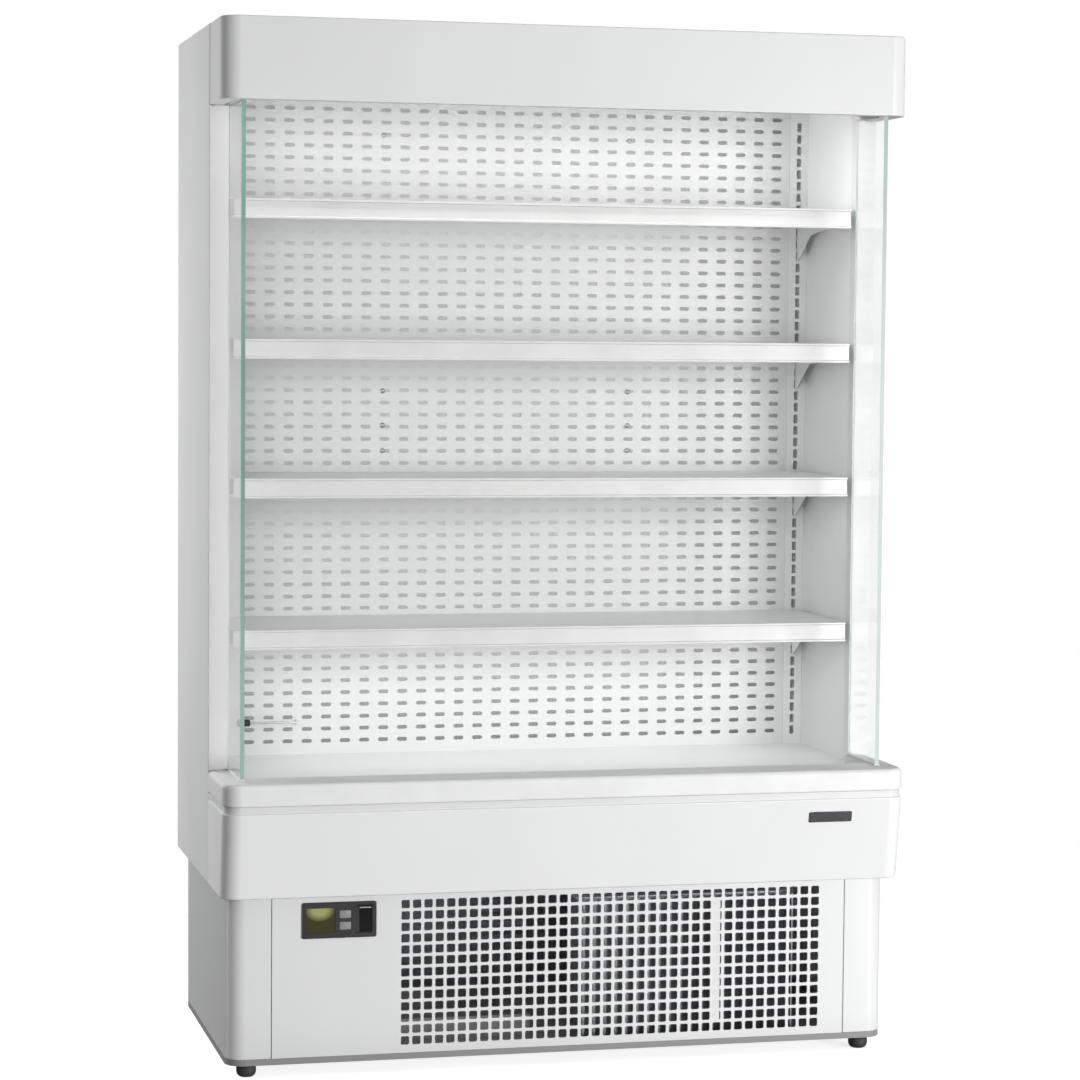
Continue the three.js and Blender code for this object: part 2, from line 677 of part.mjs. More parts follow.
function buildProbe() {
  const y = PANEL_FRONT - PROBE_STANDOFF;
  const right = PROBE_LEFT + PROBE_LENGTH;
  const rod = discX(y, PROBE_LEVEL, PROBE_RADIUS, [PROBE_LEFT, right], 10);
  const collar = [PROBE_LEFT - PROBE_GROMMET, PROBE_LEFT + PROBE_RADIUS];
  const grommet = discX(y, PROBE_LEVEL, PROBE_GROMMET, collar, 14);
  const clips = [PROBE_LEFT - PROBE_RADIUS, right - 3 * PROBE_RADIUS].map((x) => block(
    [x, x + 2 * PROBE_RADIUS], [y, PANEL_FRONT - SEAT],
    [PROBE_LEVEL - PROBE_RADIUS / 2, PROBE_LEVEL + PROBE_RADIUS / 2],
  ));
  piece('temperature_probe', join(rod, grommet, ...clips), DARK_PLASTIC);
}

// ---------------------------------------------------------------- shelves

// The shelves hang evenly, and the lowest takes up the slots that are left over.
function shelfLevel(index) {
  const slots = index === SHELF_COUNT - 1 ? SLOTS_BELOW : index * SHELF_SLOTS;
  return TOP_SHELF - slots * SLOT_PITCH;
}

function shelfProfile(level) {
  const rear = PANEL_FRONT - SHELF_REAR_GAP;
  const under = level - SHELF_SHEET;
  return [
    [SHELF_FRONT, level], [SHELF_FRONT, level - SHELF_LIP],
    [SHELF_FRONT + SHELF_SHEET, level - SHELF_LIP], [SHELF_FRONT + SHELF_SHEET, under],
    [rear, under], [rear, level],
  ];
}

function railProfile(level) {
  const rear = SHELF_FRONT - SEAT;
  const front = rear - RAIL_DEPTH;
  const face = rear - RAIL_WALL;
  const bottom = level - RAIL_HEIGHT;
  return [
    [rear, level], [rear, bottom], [front, bottom], [front, bottom + RAIL_GRIP],
    [face, bottom + RAIL_GRIP + RAIL_WALL], [face, level - RAIL_GRIP - RAIL_WALL],
    [front, level - RAIL_GRIP], [front, level],
  ];
}

function bracketProfile(level) {
  const top = level - SHELF_SHEET - SEAT;
  const rear = PANEL_FRONT - SEAT;
  const nose = SHELF_FRONT + SHELF_SHEET + SEAT;
  const reach = PANEL_FRONT + UPRIGHT_SHEET + HOOK_REACH;
  const hook = (z) => [[reach, z + HOOK_HEIGHT / 2], [reach, z - HOOK_HEIGHT / 2]];
  const upper = hookLevel(level);
  const lower = upper - HOOK_SLOTS * SLOT_PITCH;
  return [
    [nose, top], [nose, top - BRACKET_NOSE],
    [PANEL_FRONT - BRACKET_KNEE, top - BRACKET_KNEE_HEIGHT], [rear, top - BRACKET_HEIGHT],
    [rear, lower - HOOK_HEIGHT / 2], ...hook(lower).reverse(), [rear, lower + HOOK_HEIGHT / 2],
    [rear, upper - HOOK_HEIGHT / 2], ...hook(upper).reverse(), [rear, upper + HOOK_HEIGHT / 2],
    [rear, top],
  ];
}

function buildShelves() {
  for (let i = 0; i < SHELF_COUNT; i += 1) {
    const level = shelfLevel(i);
    const number = i + 1;
    piece(`shelf_${number}`, extrudeX(shelfProfile(level), [-SHELF_HALF, SHELF_HALF]), INNER_PAINT);
    piece(`price_rail_${number}`, extrudeX(railProfile(level), [-SHELF_HALF, SHELF_HALF]), PLASTIC);
    for (const [name, side] of SIDES) {
      const bracket = extrudeX(bracketProfile(level), sideSpan(side, BRACKET_X, BRACKET_X + BRACKET));
      piece(`bracket_${name}_${number}`, bracket, INNER_PAINT);
    }
  }
}

// ---------------------------------------------------------------- lamp and night blind

function buildLamp() {
  const y = FRONT + LAMP_SETBACK;
  const half = INNER - LAMP_END_GAP;
  const top = CEILING - SEAT;
  const channel = block([-half, half], [y - BATTEN_WIDTH / 2, y + BATTEN_WIDTH / 2],
    [top - BATTEN_HEIGHT, top]);
  const holders = SIDES.map(([, side]) => block(sideSpan(side, half - LAMP_HOLDER, half),
    [y - LAMP_HOLDER, y + LAMP_HOLDER], [LAMP_LEVEL - LAMP_HOLDER_DROP, top]));
  piece('lamp_batten', join(channel, ...holders), PLASTIC);
  const tubeHalf = half - LAMP_HOLDER - SEAT;
  piece('lamp_tube', discX(y, LAMP_LEVEL, LAMP_RADIUS, [-tubeHalf, tubeHalf], 16), LAMP_WHITE);
}

function buildBlind() {
  const rollerY = FRONT + ROLLER_SETBACK;
  const rollerHalf = HALF - ROLLER_END_GAP;
  const pinHalf = rollerHalf + HANGER_CLEARANCE + HANGER + SEAT;
  const drum = discX(rollerY, ROLLER_LEVEL, ROLLER_RADIUS, [-rollerHalf, rollerHalf], 20);
  const pins = discX(rollerY, ROLLER_LEVEL, ROLLER_PIN, [-pinHalf, pinHalf], 12);
  piece('blind_roller', join(drum, pins), BLIND_CLOTH);

  const clothFront = rollerY + ROLLER_RADIUS + SEAT;
  const clothHalf = HALF - BLIND_END_GAP;
  const barTop = PULL_BAR_LEVEL + PULL_BAR_HEIGHT;
  const cloth = block([-clothHalf, clothHalf], [clothFront, clothFront + BLIND_THICK],
    [barTop + SEAT, ROLLER_LEVEL]);
  piece('blind_fabric', cloth, BLIND_CLOTH);

  const barHalf = HALF - PULL_BAR_END_GAP;
  const middle = clothFront + BLIND_THICK / 2;
  const reach = PULL_BAR_DEPTH / 2;
  const profile = [
    [middle - reach, PULL_BAR_LEVEL], [middle + reach, PULL_BAR_LEVEL],
    [middle + reach, PULL_BAR_LEVEL + PULL_BAR_HEIGHT / 3], [middle + reach / 3, barTop],
    [middle - reach / 3, barTop], [middle - reach, PULL_BAR_LEVEL + PULL_BAR_HEIGHT / 3],
  ];
  piece('blind_pull_bar', extrudeX(profile, [-barHalf, barHalf]), ALUMINIUM);
}

// ---------------------------------------------------------------- base

function buildFrame() {
  const outline = wrapPath(BASE_HALF, BASE_FRONT, BASE_BACK, CORNER);
  const recess = wrapPath(BASE_HALF - FRAME_RIM, BASE_FRONT + FRAME_RIM, BASE_BACK - FRAME_RIM,
    CORNER - FRAME_RIM);
  const panX = [PAN_LEFT, PAN_LEFT + PAN_WIDTH];
  const panY = [PAN_FRONT, PAN_FRONT + PAN_DEPTH];
  const inset = ([low, high]) => [low + FRAME_SHEET, high - FRAME_SHEET];
  const panWall = extrudeZ(rectangle(panX, panY), [FOOT_HEIGHT + FRAME_SHEET / 2, FRAME_FLOOR + PAN_HEIGHT],
    [rectangle(inset(panX), inset(panY))]);
  const tray = cut(
    extrudeZ(outline, [FOOT_HEIGHT, FRAME_TOP]),
    extrudeZ(recess, [FRAME_FLOOR, FRAME_TOP + 1]),
    ...footPlaces().map(([, x, y]) => discZ(x, y, FOOT_HOLE, [0, FRAME_TOP], 16)),
  );
  piece('base_frame', join(tray, panWall), FRAME_STEEL);
}

function footPlaces() {
  const x = BASE_HALF - FOOT_INSET_X;
  const front = BASE_FRONT + FOOT_INSET_FRONT;
  const rear = BASE_BACK - FOOT_INSET_REAR;
  return [
    ['foot_front_left', -x, front], ['foot_front_right', x, front],
    ['foot_rear_left', -x, rear], ['foot_rear_right', x, rear],
  ];
}

function buildFeet() {
  const top = FOOT_HEIGHT - SEAT;
  const edge = FOOT_RADIUS;
  const profile = [
    [0, 0], [0.6 * edge, 0], [0.88 * edge, 0.15 * top], [edge, 0.4 * top], [edge, 0.7 * top],
    [0.75 * edge, top], [FOOT_STEM, top], [FOOT_STEM, top + FOOT_STEM_LENGTH], [0, top + FOOT_STEM_LENGTH],
  ].map(([r, z]) => new THREE.Vector2(r, z));
  for (const [name, x, y] of footPlaces()) {
    const foot = new THREE.LatheGeometry(profile, 12).rotateX(Math.PI / 2);
    piece(name, foot.translate(x, y, 0), RUBBER);
  }
}

function buildBasePanels() {
  const z = [FRAME_TOP + SEAT, BODY_BOTTOM - SEAT];
  const stripEnd = BASE_HALF - BASE_FRONT_STRIP;
  const flangeEnd = BASE_HALF - BASE_REAR_FLANGE;
  for (const [name, side] of SIDES) {
    const face = (half, front, rear, radius) => wrapPath(half, front, rear, radius)
      .slice(CORNER_STEPS + 2).map(([x, y]) => [side * x, y]);
    const outer = face(BASE_HALF, BASE_FRONT, BASE_BACK, CORNER);
    const inner = face(BASE_HALF - BASE_SKIN, BASE_FRONT + BASE_SKIN, BASE_BACK - BASE_SKIN,
      CORNER - BASE_SKIN);
    const plan = [
      [side * stripEnd, BASE_FRONT], ...outer, [side * flangeEnd, BASE_BACK],
      [side * flangeEnd, BASE_BACK - BASE_SKIN], ...inner.reverse(),
      [side * stripEnd, BASE_FRONT + BASE_SKIN],
    ];
    piece(`base_side_${name}`, extrudeZ(plan, z), PAINT);
  }
}

function buildRearPanel() {
  const half = BASE_HALF - BASE_REAR_FLANGE - SEAT;
  const y = [BASE_BACK - BASE_SKIN, BASE_BACK];
  const louvreField = [-half + BASE_REAR_FLANGE, half - BASE_REAR_FLANGE];
  const louvreRise = [LOUVRE_BOTTOM, LOUVRE_BOTTOM + LOUVRE_ROWS * LOUVRE_PITCH];
  const louvres = holeGrid(louvreField, louvreRise, LOUVRE_COLUMNS, LOUVRE_ROWS,
    LOUVRE_WIDTH, LOUVRE_HEIGHT);
  const bore = circle(GLAND_X, GLAND_Z, GLAND_BORE, 12);
  const sheet = extrudeY(rectangle([-half, half], [FRAME_TOP + SEAT, BODY_BOTTOM - SEAT]), y,
    [...louvres, bore]);
  const gland = extrudeY(circle(GLAND_X, GLAND_Z, GLAND_RADIUS), [y[0], BASE_BACK + GLAND_LENGTH], [bore]);
  piece('base_rear_panel', join(sheet, gland), GALVANISED);
}

function controlCutout() {
  const x = [CONTROL_LEFT + BEZEL_OVERLAP, CONTROL_LEFT + CONTROL_WIDTH - BEZEL_OVERLAP];
  const z = [CONTROL_BOTTOM + BEZEL_OVERLAP, CONTROL_BOTTOM + CONTROL_HEIGHT - BEZEL_OVERLAP];
  return { x, z };
}

function buildGrille() {
  const half = PANEL_HALF;
  const z = [FRAME_TOP + SEAT, BODY_BOTTOM - SEAT];
  const fieldX = [GRILLE_LEFT, GRILLE_RIGHT];
  const fieldZ = [GRILLE_BOTTOM, GRILLE_TOP];
  const holeX = (GRILLE_RIGHT - GRILLE_LEFT) / GRILLE_COLUMNS - GRILLE_BAR;
  const holeZ = (GRILLE_TOP - GRILLE_BOTTOM) / GRILLE_ROWS - GRILLE_BAR;
  const holes = holeGrid(fieldX, fieldZ, GRILLE_COLUMNS, GRILLE_ROWS, holeX, holeZ);
  const cutout = controlCutout();
  const sheet = extrudeY(rectangle([-half, half], z), [BASE_FRONT, BASE_FRONT + BASE_SKIN],
    [...holes, rectangle(cutout.x, cutout.z)]);
  const returns = SIDES.map(([, side]) => block(sideSpan(side, half - BASE_SKIN, half),
    [BASE_FRONT + BASE_SKIN / 2, BASE_FRONT + FRAME_RIM], z));
  piece('grille_panel', join(sheet, ...returns), PAINT);
}

// ---------------------------------------------------------------- controller

const BEZEL_FRONT = BASE_FRONT - SEAT - BEZEL;

function windowPlace() {
  const x = CONTROL_LEFT + WINDOW_INSET;
  return { x: [x, x + WINDOW_WIDTH], z: [CONTROL_MID - WINDOW_HEIGHT / 2, CONTROL_MID + WINDOW_HEIGHT / 2] };
}

function keyPlace(direction) {
  const x = CONTROL_LEFT + KEY_LEFT;
  const z = CONTROL_MID + (direction * KEY_SPACING) / 2;
  return { x: [x, x + KEY_WIDTH], z: [z - KEY_HEIGHT / 2, z + KEY_HEIGHT / 2] };
}

function rockerPlace() {
  const x = CONTROL_LEFT + ROCKER_LEFT;
  return { x: [x, x + ROCKER_WIDTH], z: [CONTROL_MID - ROCKER_HEIGHT / 2, CONTROL_MID + ROCKER_HEIGHT / 2] };
}

function grown(place, margin) {
  const widen = ([low, high]) => [low - margin, high + margin];
  return { x: widen(place.x), z: widen(place.z) };
}

function buildController() {
  const before = BEZEL_FRONT - 1;
  const cutout = controlCutout();
  const shell = [cutout.x, cutout.z].map(([low, high]) => [low + SEAT, high - SEAT]);
  const bezel = block([CONTROL_LEFT, CONTROL_LEFT + CONTROL_WIDTH], [BEZEL_FRONT, BASE_FRONT - SEAT],
    [CONTROL_BOTTOM, CONTROL_BOTTOM + CONTROL_HEIGHT]);
  const body = block(shell[0], [BASE_FRONT - BEZEL / 2, BASE_FRONT + CONTROL_DEPTH], shell[1]);
  const pocket = (place, depth) => block(place.x, [before, BEZEL_FRONT + depth], place.z);
  const pockets = [
    pocket(grown(windowPlace(), SEAT), WINDOW_THICK + 2 * SEAT),
    pocket(grown(keyPlace(1), SEAT), KEY_DEPTH + KEY_PROUD),
    pocket(grown(keyPlace(-1), SEAT), KEY_DEPTH + KEY_PROUD),
    pocket(grown(rockerPlace(), 2 * SEAT), ROCKER_POCKET),
  ];
  piece('controller_housing', cut(join(bezel, body), ...pockets), DARK_PLASTIC);

  const pane = windowPlace();
  const paneFront = BEZEL_FRONT + SEAT;
  piece('display_window', block(pane.x, [paneFront, paneFront + WINDOW_THICK], pane.z), DISPLAY);
  for (const [name, direction] of [['key_up', 1], ['key_down', -1]]) {
    const key = keyPlace(direction);
    piece(name, block(key.x, [BEZEL_FRONT - KEY_PROUD, BEZEL_FRONT + KEY_DEPTH], key.z), KEY_GREY);
  }
}

// A rocker with a dished front, shown tipped to its "on" side about its pivot.
function buildRocker() {
  const place = rockerPlace();
  const half = ROCKER_HEIGHT / 2 - 2 * SEAT;
  const pivotY = BEZEL_FRONT + ROCKER_POCKET / 2;
  const depth = ROCKER_POCKET / 2 - ROCKER_DISH;
  const rim = -depth - ROCKER_DISH - KEY_PROUD;
  const profile = [
    [rim, half], [-depth - ROCKER_DISH, 0], [rim, -half], [0, -0.8 * half], [depth, 0], [0, 0.8 * half],
  ].map(([y, z]) => new THREE.Vector2(y, z).rotateAround(new THREE.Vector2(), ROCKER_TILT))
    .map(({ x: y, y: z }) => [pivotY + y, CONTROL_MID + z]);
  const rocker = extrudeX(profile, [place.x[0] + SEAT, place.x[1] - SEAT]);
  piece('light_switch', rocker, DARK_PLASTIC);
}

// ---------------------------------------------------------------- machines

// Plan of a finned block: a solid core with fins that stand out to the front.
function finPlan([x0, x1], [y0, y1], fins, depth) {
  const points = [[x0, y1], [x0, y0 + depth]];
  const pitch = (x1 - x0) / fins;
  for (let i = 0; i < fins; i += 1) {
    const middle = x0 + (i + 0.5) * pitch;
    points.push([middle - FIN / 2, y0 + depth], [middle - FIN / 2, y0]);
    points.push([middle + FIN / 2, y0], [middle + FIN / 2, y0 + depth]);
  }
  points.push([x1, y0 + depth], [x1, y1]);
  return points;
}

function coilPlace() {
  const y = BASE_FRONT + COIL_SETBACK - COIL_DEPTH;
  return {
    x: [COIL_LEFT, COIL_LEFT + COIL_WIDTH],
    y: [y, y + COIL_DEPTH],
    z: [FRAME_FLOOR + SEAT, FRAME_FLOOR + SEAT + COIL_HEIGHT],
  };
}

function buildCondenser() {
  const { x, y, z } = coilPlace();
  const core = extrudeZ(finPlan(x, y, COIL_FINS, COIL_DEPTH / 3), [z[0] + COIL_END, z[1] - COIL_END]);
  const ends = [[x[0], x[0] + COIL_END], [x[1] - COIL_END, x[1]]].map((span) => block(span, y, z));
  const rails = [[z[0], z[0] + 2 * COIL_END], [z[1] - 2 * COIL_END, z[1]]].map((span) => block(
    x, [y[0] + COIL_DEPTH / 2, y[1]], span,
  ));
  piece('condenser', join(core, ...ends, ...rails), ALUMINIUM);
}

// Fan with its axis along +Z at the origin, hub from 0 to its depth.
function fanShape(radius, depth, hub, shaftDepth) {
  const blades = Array.from({ length: FAN_BLADES }, (_, i) => {
    const chord = Math.min(BLADE_CHORD, radius * 0.5);
    const blade = block([hub * 0.7, radius], [-chord / 2, chord / 2], [-BLADE / 2, BLADE / 2]);
    blade.rotateX(BLADE_PITCH).translate(0, 0, depth / 2);
    return blade.rotateZ((2 * Math.PI * i) / FAN_BLADES);
  });
  const body = join(discZ(0, 0, hub, [0, depth], 20), ...blades);
  return cut(body, discZ(0, 0, SHAFT + SEAT, [-1, shaftDepth], 10));
}

function condenserFanPlace() {
  const { x, y, z } = coilPlace();
  return { x: (x[0] + x[1]) / 2, y: y[1] + SEAT, z: (z[0] + z[1]) / 2 };
}

function buildCondenserFan() {
  const { x, z } = coilPlace();
  const centre = condenserFanPlace();
  const front = centre.y;
  const rear = front + SHROUD;
  const plate = extrudeY(rectangle(x, z), [front, rear], [circle(centre.x, centre.z, SHROUD_RING, 28)]);
  const fanDepth = SHROUD + MOTOR_ARM;
  const armFront = front + fanDepth + 2 * SEAT;
  const armY = [armFront, armFront + MOTOR_ARM];
  const arm = rectangle([x[0], x[1]], [centre.z - MOTOR_ARM, centre.z + MOTOR_ARM]);
  const posts = [x[0], x[1] - MOTOR_ARM].map((left) => block([left, left + MOTOR_ARM],
    [rear - SHROUD / 2, armY[1]], [centre.z - MOTOR_ARM, centre.z + MOTOR_ARM]));
  const motor = discY(centre.x, centre.z, MOTOR_RADIUS, [armFront, armFront + MOTOR_LENGTH]);
  const shaft = discY(centre.x, centre.z, SHAFT, [armFront - fanDepth / 2, armFront + MOTOR_ARM], 12);
  piece('condenser_shroud', join(plate, extrudeY(arm, armY), ...posts, motor, shaft), BLACK_STEEL);

  const fan = fanShape(SHROUD_RING - FAN_CLEARANCE, fanDepth, FAN_HUB, fanDepth / 2 + SHAFT_END_GAP);
  fan.rotateX(Math.PI / 2).translate(centre.x, front + fanDepth + SEAT, centre.z);
  piece('condenser_fan', fan, BLACK_STEEL);
}

function buildCompressor() {
  const plateBottom = FRAME_FLOOR + SEAT + GROMMET_HEIGHT;
  const shellBottom = plateBottom + COMPRESSOR_PLATE / 2;
  const r = COMPRESSOR_RADIUS;
  const h = COMPRESSOR_HEIGHT;
  const profile = [
    [0, 0], [0.72 * r, 0], [0.95 * r, 0.12 * h], [r, 0.25 * h], [r, 0.5 * h], [1.04 * r, 0.51 * h],
    [1.04 * r, 0.55 * h], [r, 0.56 * h], [r, 0.75 * h], [0.86 * r, 0.91 * h], [0.5 * r, h], [0, h],
  ].map(([radius, z]) => new THREE.Vector2(radius, z));
  const shell = new THREE.LatheGeometry(profile, 18).rotateX(Math.PI / 2)
    .translate(COMPRESSOR_X, COMPRESSOR_Y, shellBottom);
  const plateX = [COMPRESSOR_X - 1.15 * r, COMPRESSOR_X + 1.15 * r];
  const plateY = [COMPRESSOR_Y - 0.95 * r, COMPRESSOR_Y + 0.95 * r];
  const plate = block(plateX, plateY, [plateBottom, plateBottom + COMPRESSOR_PLATE]);
  const grommets = [];
  for (const x of [plateX[0] + GROMMET_RADIUS, plateX[1] - GROMMET_RADIUS]) {
    for (const y of [plateY[0] + GROMMET_RADIUS, plateY[1] - GROMMET_RADIUS]) {
      grommets.push(discZ(x, y, GROMMET_RADIUS, [FRAME_FLOOR + SEAT, plateBottom + 1], 12));
    }
  }
  const terminals = block([COMPRESSOR_X + 0.7 * r, COMPRESSOR_X + 1.2 * r],
    [COMPRESSOR_Y - 0.35 * r, COMPRESSOR_Y + 0.35 * r], [shellBottom + 0.3 * h, shellBottom + 0.65 * h]);
  piece('compressor', join(shell, plate, ...grommets, terminals), BLACK_STEEL);
}

function buildEvaporator() {
  const floor = BODY_BOTTOM + TUB_FLOOR + SEAT;
  const y = [EVAPORATOR_FRONT, EVAPORATOR_FRONT + EVAPORATOR_DEPTH];
  const half = EVAPORATOR_HALF;
  const core = extrudeZ(finPlan([-half, half], y, EVAPORATOR_FINS, EVAPORATOR_DEPTH / 3),
    [floor + COIL_END, floor + EVAPORATOR_HEIGHT]);
  const apron = y[0] - 2 * COIL_END;
  const ends = SIDES.map(([, side]) => block(sideSpan(side, half - COIL_END, half), [apron, y[1]],
    [floor, floor + EVAPORATOR_HEIGHT]));

  const deckHalf = LINED - TUB_LINER - SEAT;
  const deckFront = FRONT + TUB_FRONT + TUB_WALL + SEAT;
  const sheet = FAN_DECK_SHEET;
  const centres = SIDES.map(([, side]) => (side * FAN_SPACING) / 2);
  const holes = centres.map((x) => circle(x, FAN_CENTRE_Y, FAN_DECK_HOLE, 20));
  const deckZ = [FAN_DECK_LEVEL, FAN_DECK_LEVEL + sheet];
  const deck = extrudeZ(rectangle([-deckHalf, deckHalf], [deckFront, apron + sheet]), deckZ, holes);
  const skirt = block([-deckHalf, deckHalf], [apron, apron + sheet], [floor, deckZ[1]]);
  const armTop = FAN_DECK_LEVEL - MOTOR_ARM;
  const motors = centres.flatMap((x) => [
    discZ(x, FAN_CENTRE_Y, FAN_HUB, [armTop - MOTOR_LENGTH, armTop]),
    discZ(x, FAN_CENTRE_Y, SHAFT, [armTop - MOTOR_ARM, armTop + FAN_DEPTH / 2], 12),
    block([x - FAN_DECK_HOLE - MOTOR_ARM, x + FAN_DECK_HOLE + MOTOR_ARM],
      [FAN_CENTRE_Y - MOTOR_ARM, FAN_CENTRE_Y + MOTOR_ARM], [armTop - sheet, armTop]),
    block([x - FAN_DECK_HOLE - MOTOR_ARM, x - FAN_DECK_HOLE - sheet],
      [FAN_CENTRE_Y - MOTOR_ARM, FAN_CENTRE_Y + MOTOR_ARM], [armTop - sheet, FAN_DECK_LEVEL + sheet / 2]),
    block([x + FAN_DECK_HOLE + sheet, x + FAN_DECK_HOLE + MOTOR_ARM],
      [FAN_CENTRE_Y - MOTOR_ARM, FAN_CENTRE_Y + MOTOR_ARM], [armTop - sheet, FAN_DECK_LEVEL + sheet / 2]),
  ]);
  piece('evaporator', join(core, ...ends, skirt, deck, ...motors), ALUMINIUM);

  SIDES.forEach(([name], i) => {
    const fan = fanShape(FAN_DECK_HOLE - FAN_CLEARANCE, FAN_DEPTH, FAN_HUB, FAN_DEPTH / 2 + SHAFT_END_GAP);
    fan.translate(centres[i], FAN_CENTRE_Y, armTop + SEAT);
    piece(`evaporator_fan_${name}`, fan, BLACK_STEEL);
  });
}

// ---------------------------------------------------------------- build

buildTub();
buildWalls();
buildFascia();
buildBumper();
buildHeader();
buildGlass();
buildBackPanel();
buildUprights();
buildCeiling();
buildComb();
buildDeck();
buildReturnGrille();
buildProbe();
buildShelves();
buildLamp();
buildBlind();
buildFrame();
buildFeet();
buildBasePanels();
buildRearPanel();
buildGrille();
buildController();
buildRocker();
buildCondenser();
buildCondenserFan();
buildCompressor();
buildEvaporator();

export default fridge;
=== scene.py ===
import json
import math

import bmesh
import bpy
from mathutils import Matrix, Vector

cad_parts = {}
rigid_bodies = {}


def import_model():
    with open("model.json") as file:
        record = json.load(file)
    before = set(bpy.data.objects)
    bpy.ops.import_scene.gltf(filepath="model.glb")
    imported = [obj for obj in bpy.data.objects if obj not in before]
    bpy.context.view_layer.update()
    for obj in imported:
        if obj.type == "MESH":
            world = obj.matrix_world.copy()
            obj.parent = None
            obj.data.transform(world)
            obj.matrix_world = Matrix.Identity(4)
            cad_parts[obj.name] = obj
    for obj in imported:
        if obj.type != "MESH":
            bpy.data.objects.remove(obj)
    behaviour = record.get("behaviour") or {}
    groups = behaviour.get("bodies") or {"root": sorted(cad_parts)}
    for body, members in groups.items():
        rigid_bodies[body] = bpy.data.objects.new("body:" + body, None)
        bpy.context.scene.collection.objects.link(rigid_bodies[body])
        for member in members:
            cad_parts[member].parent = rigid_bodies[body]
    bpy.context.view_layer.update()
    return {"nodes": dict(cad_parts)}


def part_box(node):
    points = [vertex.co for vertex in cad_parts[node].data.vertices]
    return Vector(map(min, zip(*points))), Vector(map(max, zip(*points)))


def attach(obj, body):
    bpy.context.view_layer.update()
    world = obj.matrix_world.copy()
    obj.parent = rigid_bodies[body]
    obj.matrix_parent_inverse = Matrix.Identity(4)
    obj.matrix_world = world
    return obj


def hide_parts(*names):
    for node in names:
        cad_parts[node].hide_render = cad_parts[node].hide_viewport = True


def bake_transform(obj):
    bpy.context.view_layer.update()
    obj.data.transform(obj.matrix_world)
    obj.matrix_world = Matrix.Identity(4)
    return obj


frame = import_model()
NODES = frame["nodes"]
MM = 0.001

# ---- sizes, in millimetres

HALF = 672.5              # half the cabinet's width
FRONT, REAR = -340.0, 340.0
HEIGHT = 2000.0
INNER = 634.5             # half the width between the side walls
SEAT = 0.3                # gap between pieces that touch
WALL_FRONT = -125.0       # front edges of the side walls
RETURN_END = WALL_FRONT - SEAT
REAR_WALL = 295.0         # front face of the rear wall
CORNER = 35.0             # radius of the front's corners
HEADER_FRONT, HEADER_BOTTOM = -300.0, 1846.0
BUMPER_BOTTOM, BUMPER_TOP = 530.0, 572.0
LEDGE_LOW = 548.3         # foot of the bumper's inner ledge
FASCIA_TOP, FASCIA_LEAN = 516.0, 27.0
BODY_BOTTOM = 352.0
PANEL_FRONT = 200.0       # front face of the perforated back panel
BASE_HALF, BASE_FRONT, BASE_BACK = 656.5, -271.0, 293.0
FRAME_TOP = 38.0
BASE_LOW, BASE_HIGH = FRAME_TOP + SEAT, BODY_BOTTOM - SEAT
DECK_TOP, CEILING = 556.0, 1890.0
HOOK_PITCH = 24.4
LEVELS = [1671.0 - n * HOOK_PITCH for n in (0, 11, 22, 34)]    # tops of the shelves
GLASS_INNER = 626.5
ROLL_Y, ROLL_Z = -274.0, 1905.0    # axis of the blind's roller

# ---- materials


def add_object(name, data):
    thing = bpy.data.objects.new(name, data)
    bpy.context.scene.collection.objects.link(thing)
    return thing


def fill(tree, node, inputs):
    """Links each input of a node to a socket, or sets it to a value."""
    for key, value in inputs.items():
        if isinstance(value, bpy.types.NodeSocket):
            tree.links.new(value, node.inputs[key])
        else:
            node.inputs[key].default_value = value


def add_node(tree, kind, inputs, **settings):
    """A new node's outputs."""
    node = tree.nodes.new(f"ShaderNode{kind}")
    for key, value in settings.items():
        setattr(node, key, value)
    fill(tree, node, inputs)
    return node.outputs


class Shader:
    """A Principled material and short ways to add nodes to it."""

    def __init__(self, name, color, roughness, **sockets):
        self.material = bpy.data.materials.new(name)
        self.material.use_nodes = True
        self.tree = self.material.node_tree
        self.bsdf = self.tree.nodes["Principled BSDF"]
        self.coords = None
        self.set(Base_Color=(*color, 1.0), Roughness=roughness, **sockets)

    def set(self, **sockets):
        """Sets or links the shader's own sockets, named with _ for a space."""
        fill(self.tree, self.bsdf, {name.replace("_", " "): value for name, value in sockets.items()})

    def add(self, kind, inputs, **settings):
        return add_node(self.tree, kind, inputs, **settings)

    def position(self):
        """A point's place on the piece, in metres."""
        if self.coords is None:
            self.coords = self.add("TexCoord", {})
        return self.coords["Object"]

    def place(self, stretch=(1, 1, 1), shift=(0, 0, 0)):
        inputs = {"Scale": stretch, "Location": shift, "Vector": self.position()}
        return self.add("Mapping", inputs)["Vector"]

    def noise(self, scale, detail=3.0, stretch=(1, 1, 1)):
        inputs = {"Scale": scale, "Detail": detail, "Roughness": 0.55, "Vector": self.place(stretch)}
        return self.add("TexNoise", inputs)["Fac"]

    def spread(self, value, low, high, start=0.3, stop=0.7):
        """Maps start to stop onto low to high."""
        inputs = {"Value": value, "From Min": start, "From Max": stop, "To Min": low, "To Max": high}
        return self.add("MapRange", inputs)["Result"]

    def tint(self, value, dark, light):
        inputs = {"Factor": value, "A": (*dark, 1.0), "B": (*light, 1.0)}
        self.set(Base_Color=self.add("Mix", inputs, data_type="RGBA")["Result"])

    def bump(self, height, strength, distance):
        """Adds to the bump that is already there."""
        inputs = {"Strength": strength, "Distance": distance, "Height": height}
        previous = self.bsdf.inputs["Normal"]
        if previous.is_linked:
            inputs["Normal"] = previous.links[0].from_socket
        self.set(Normal=self.add("Bump", inputs)["Normal"])


def dimmed(color, amount):
    """The same colour, darker."""
    return tuple(c * amount for c in color)


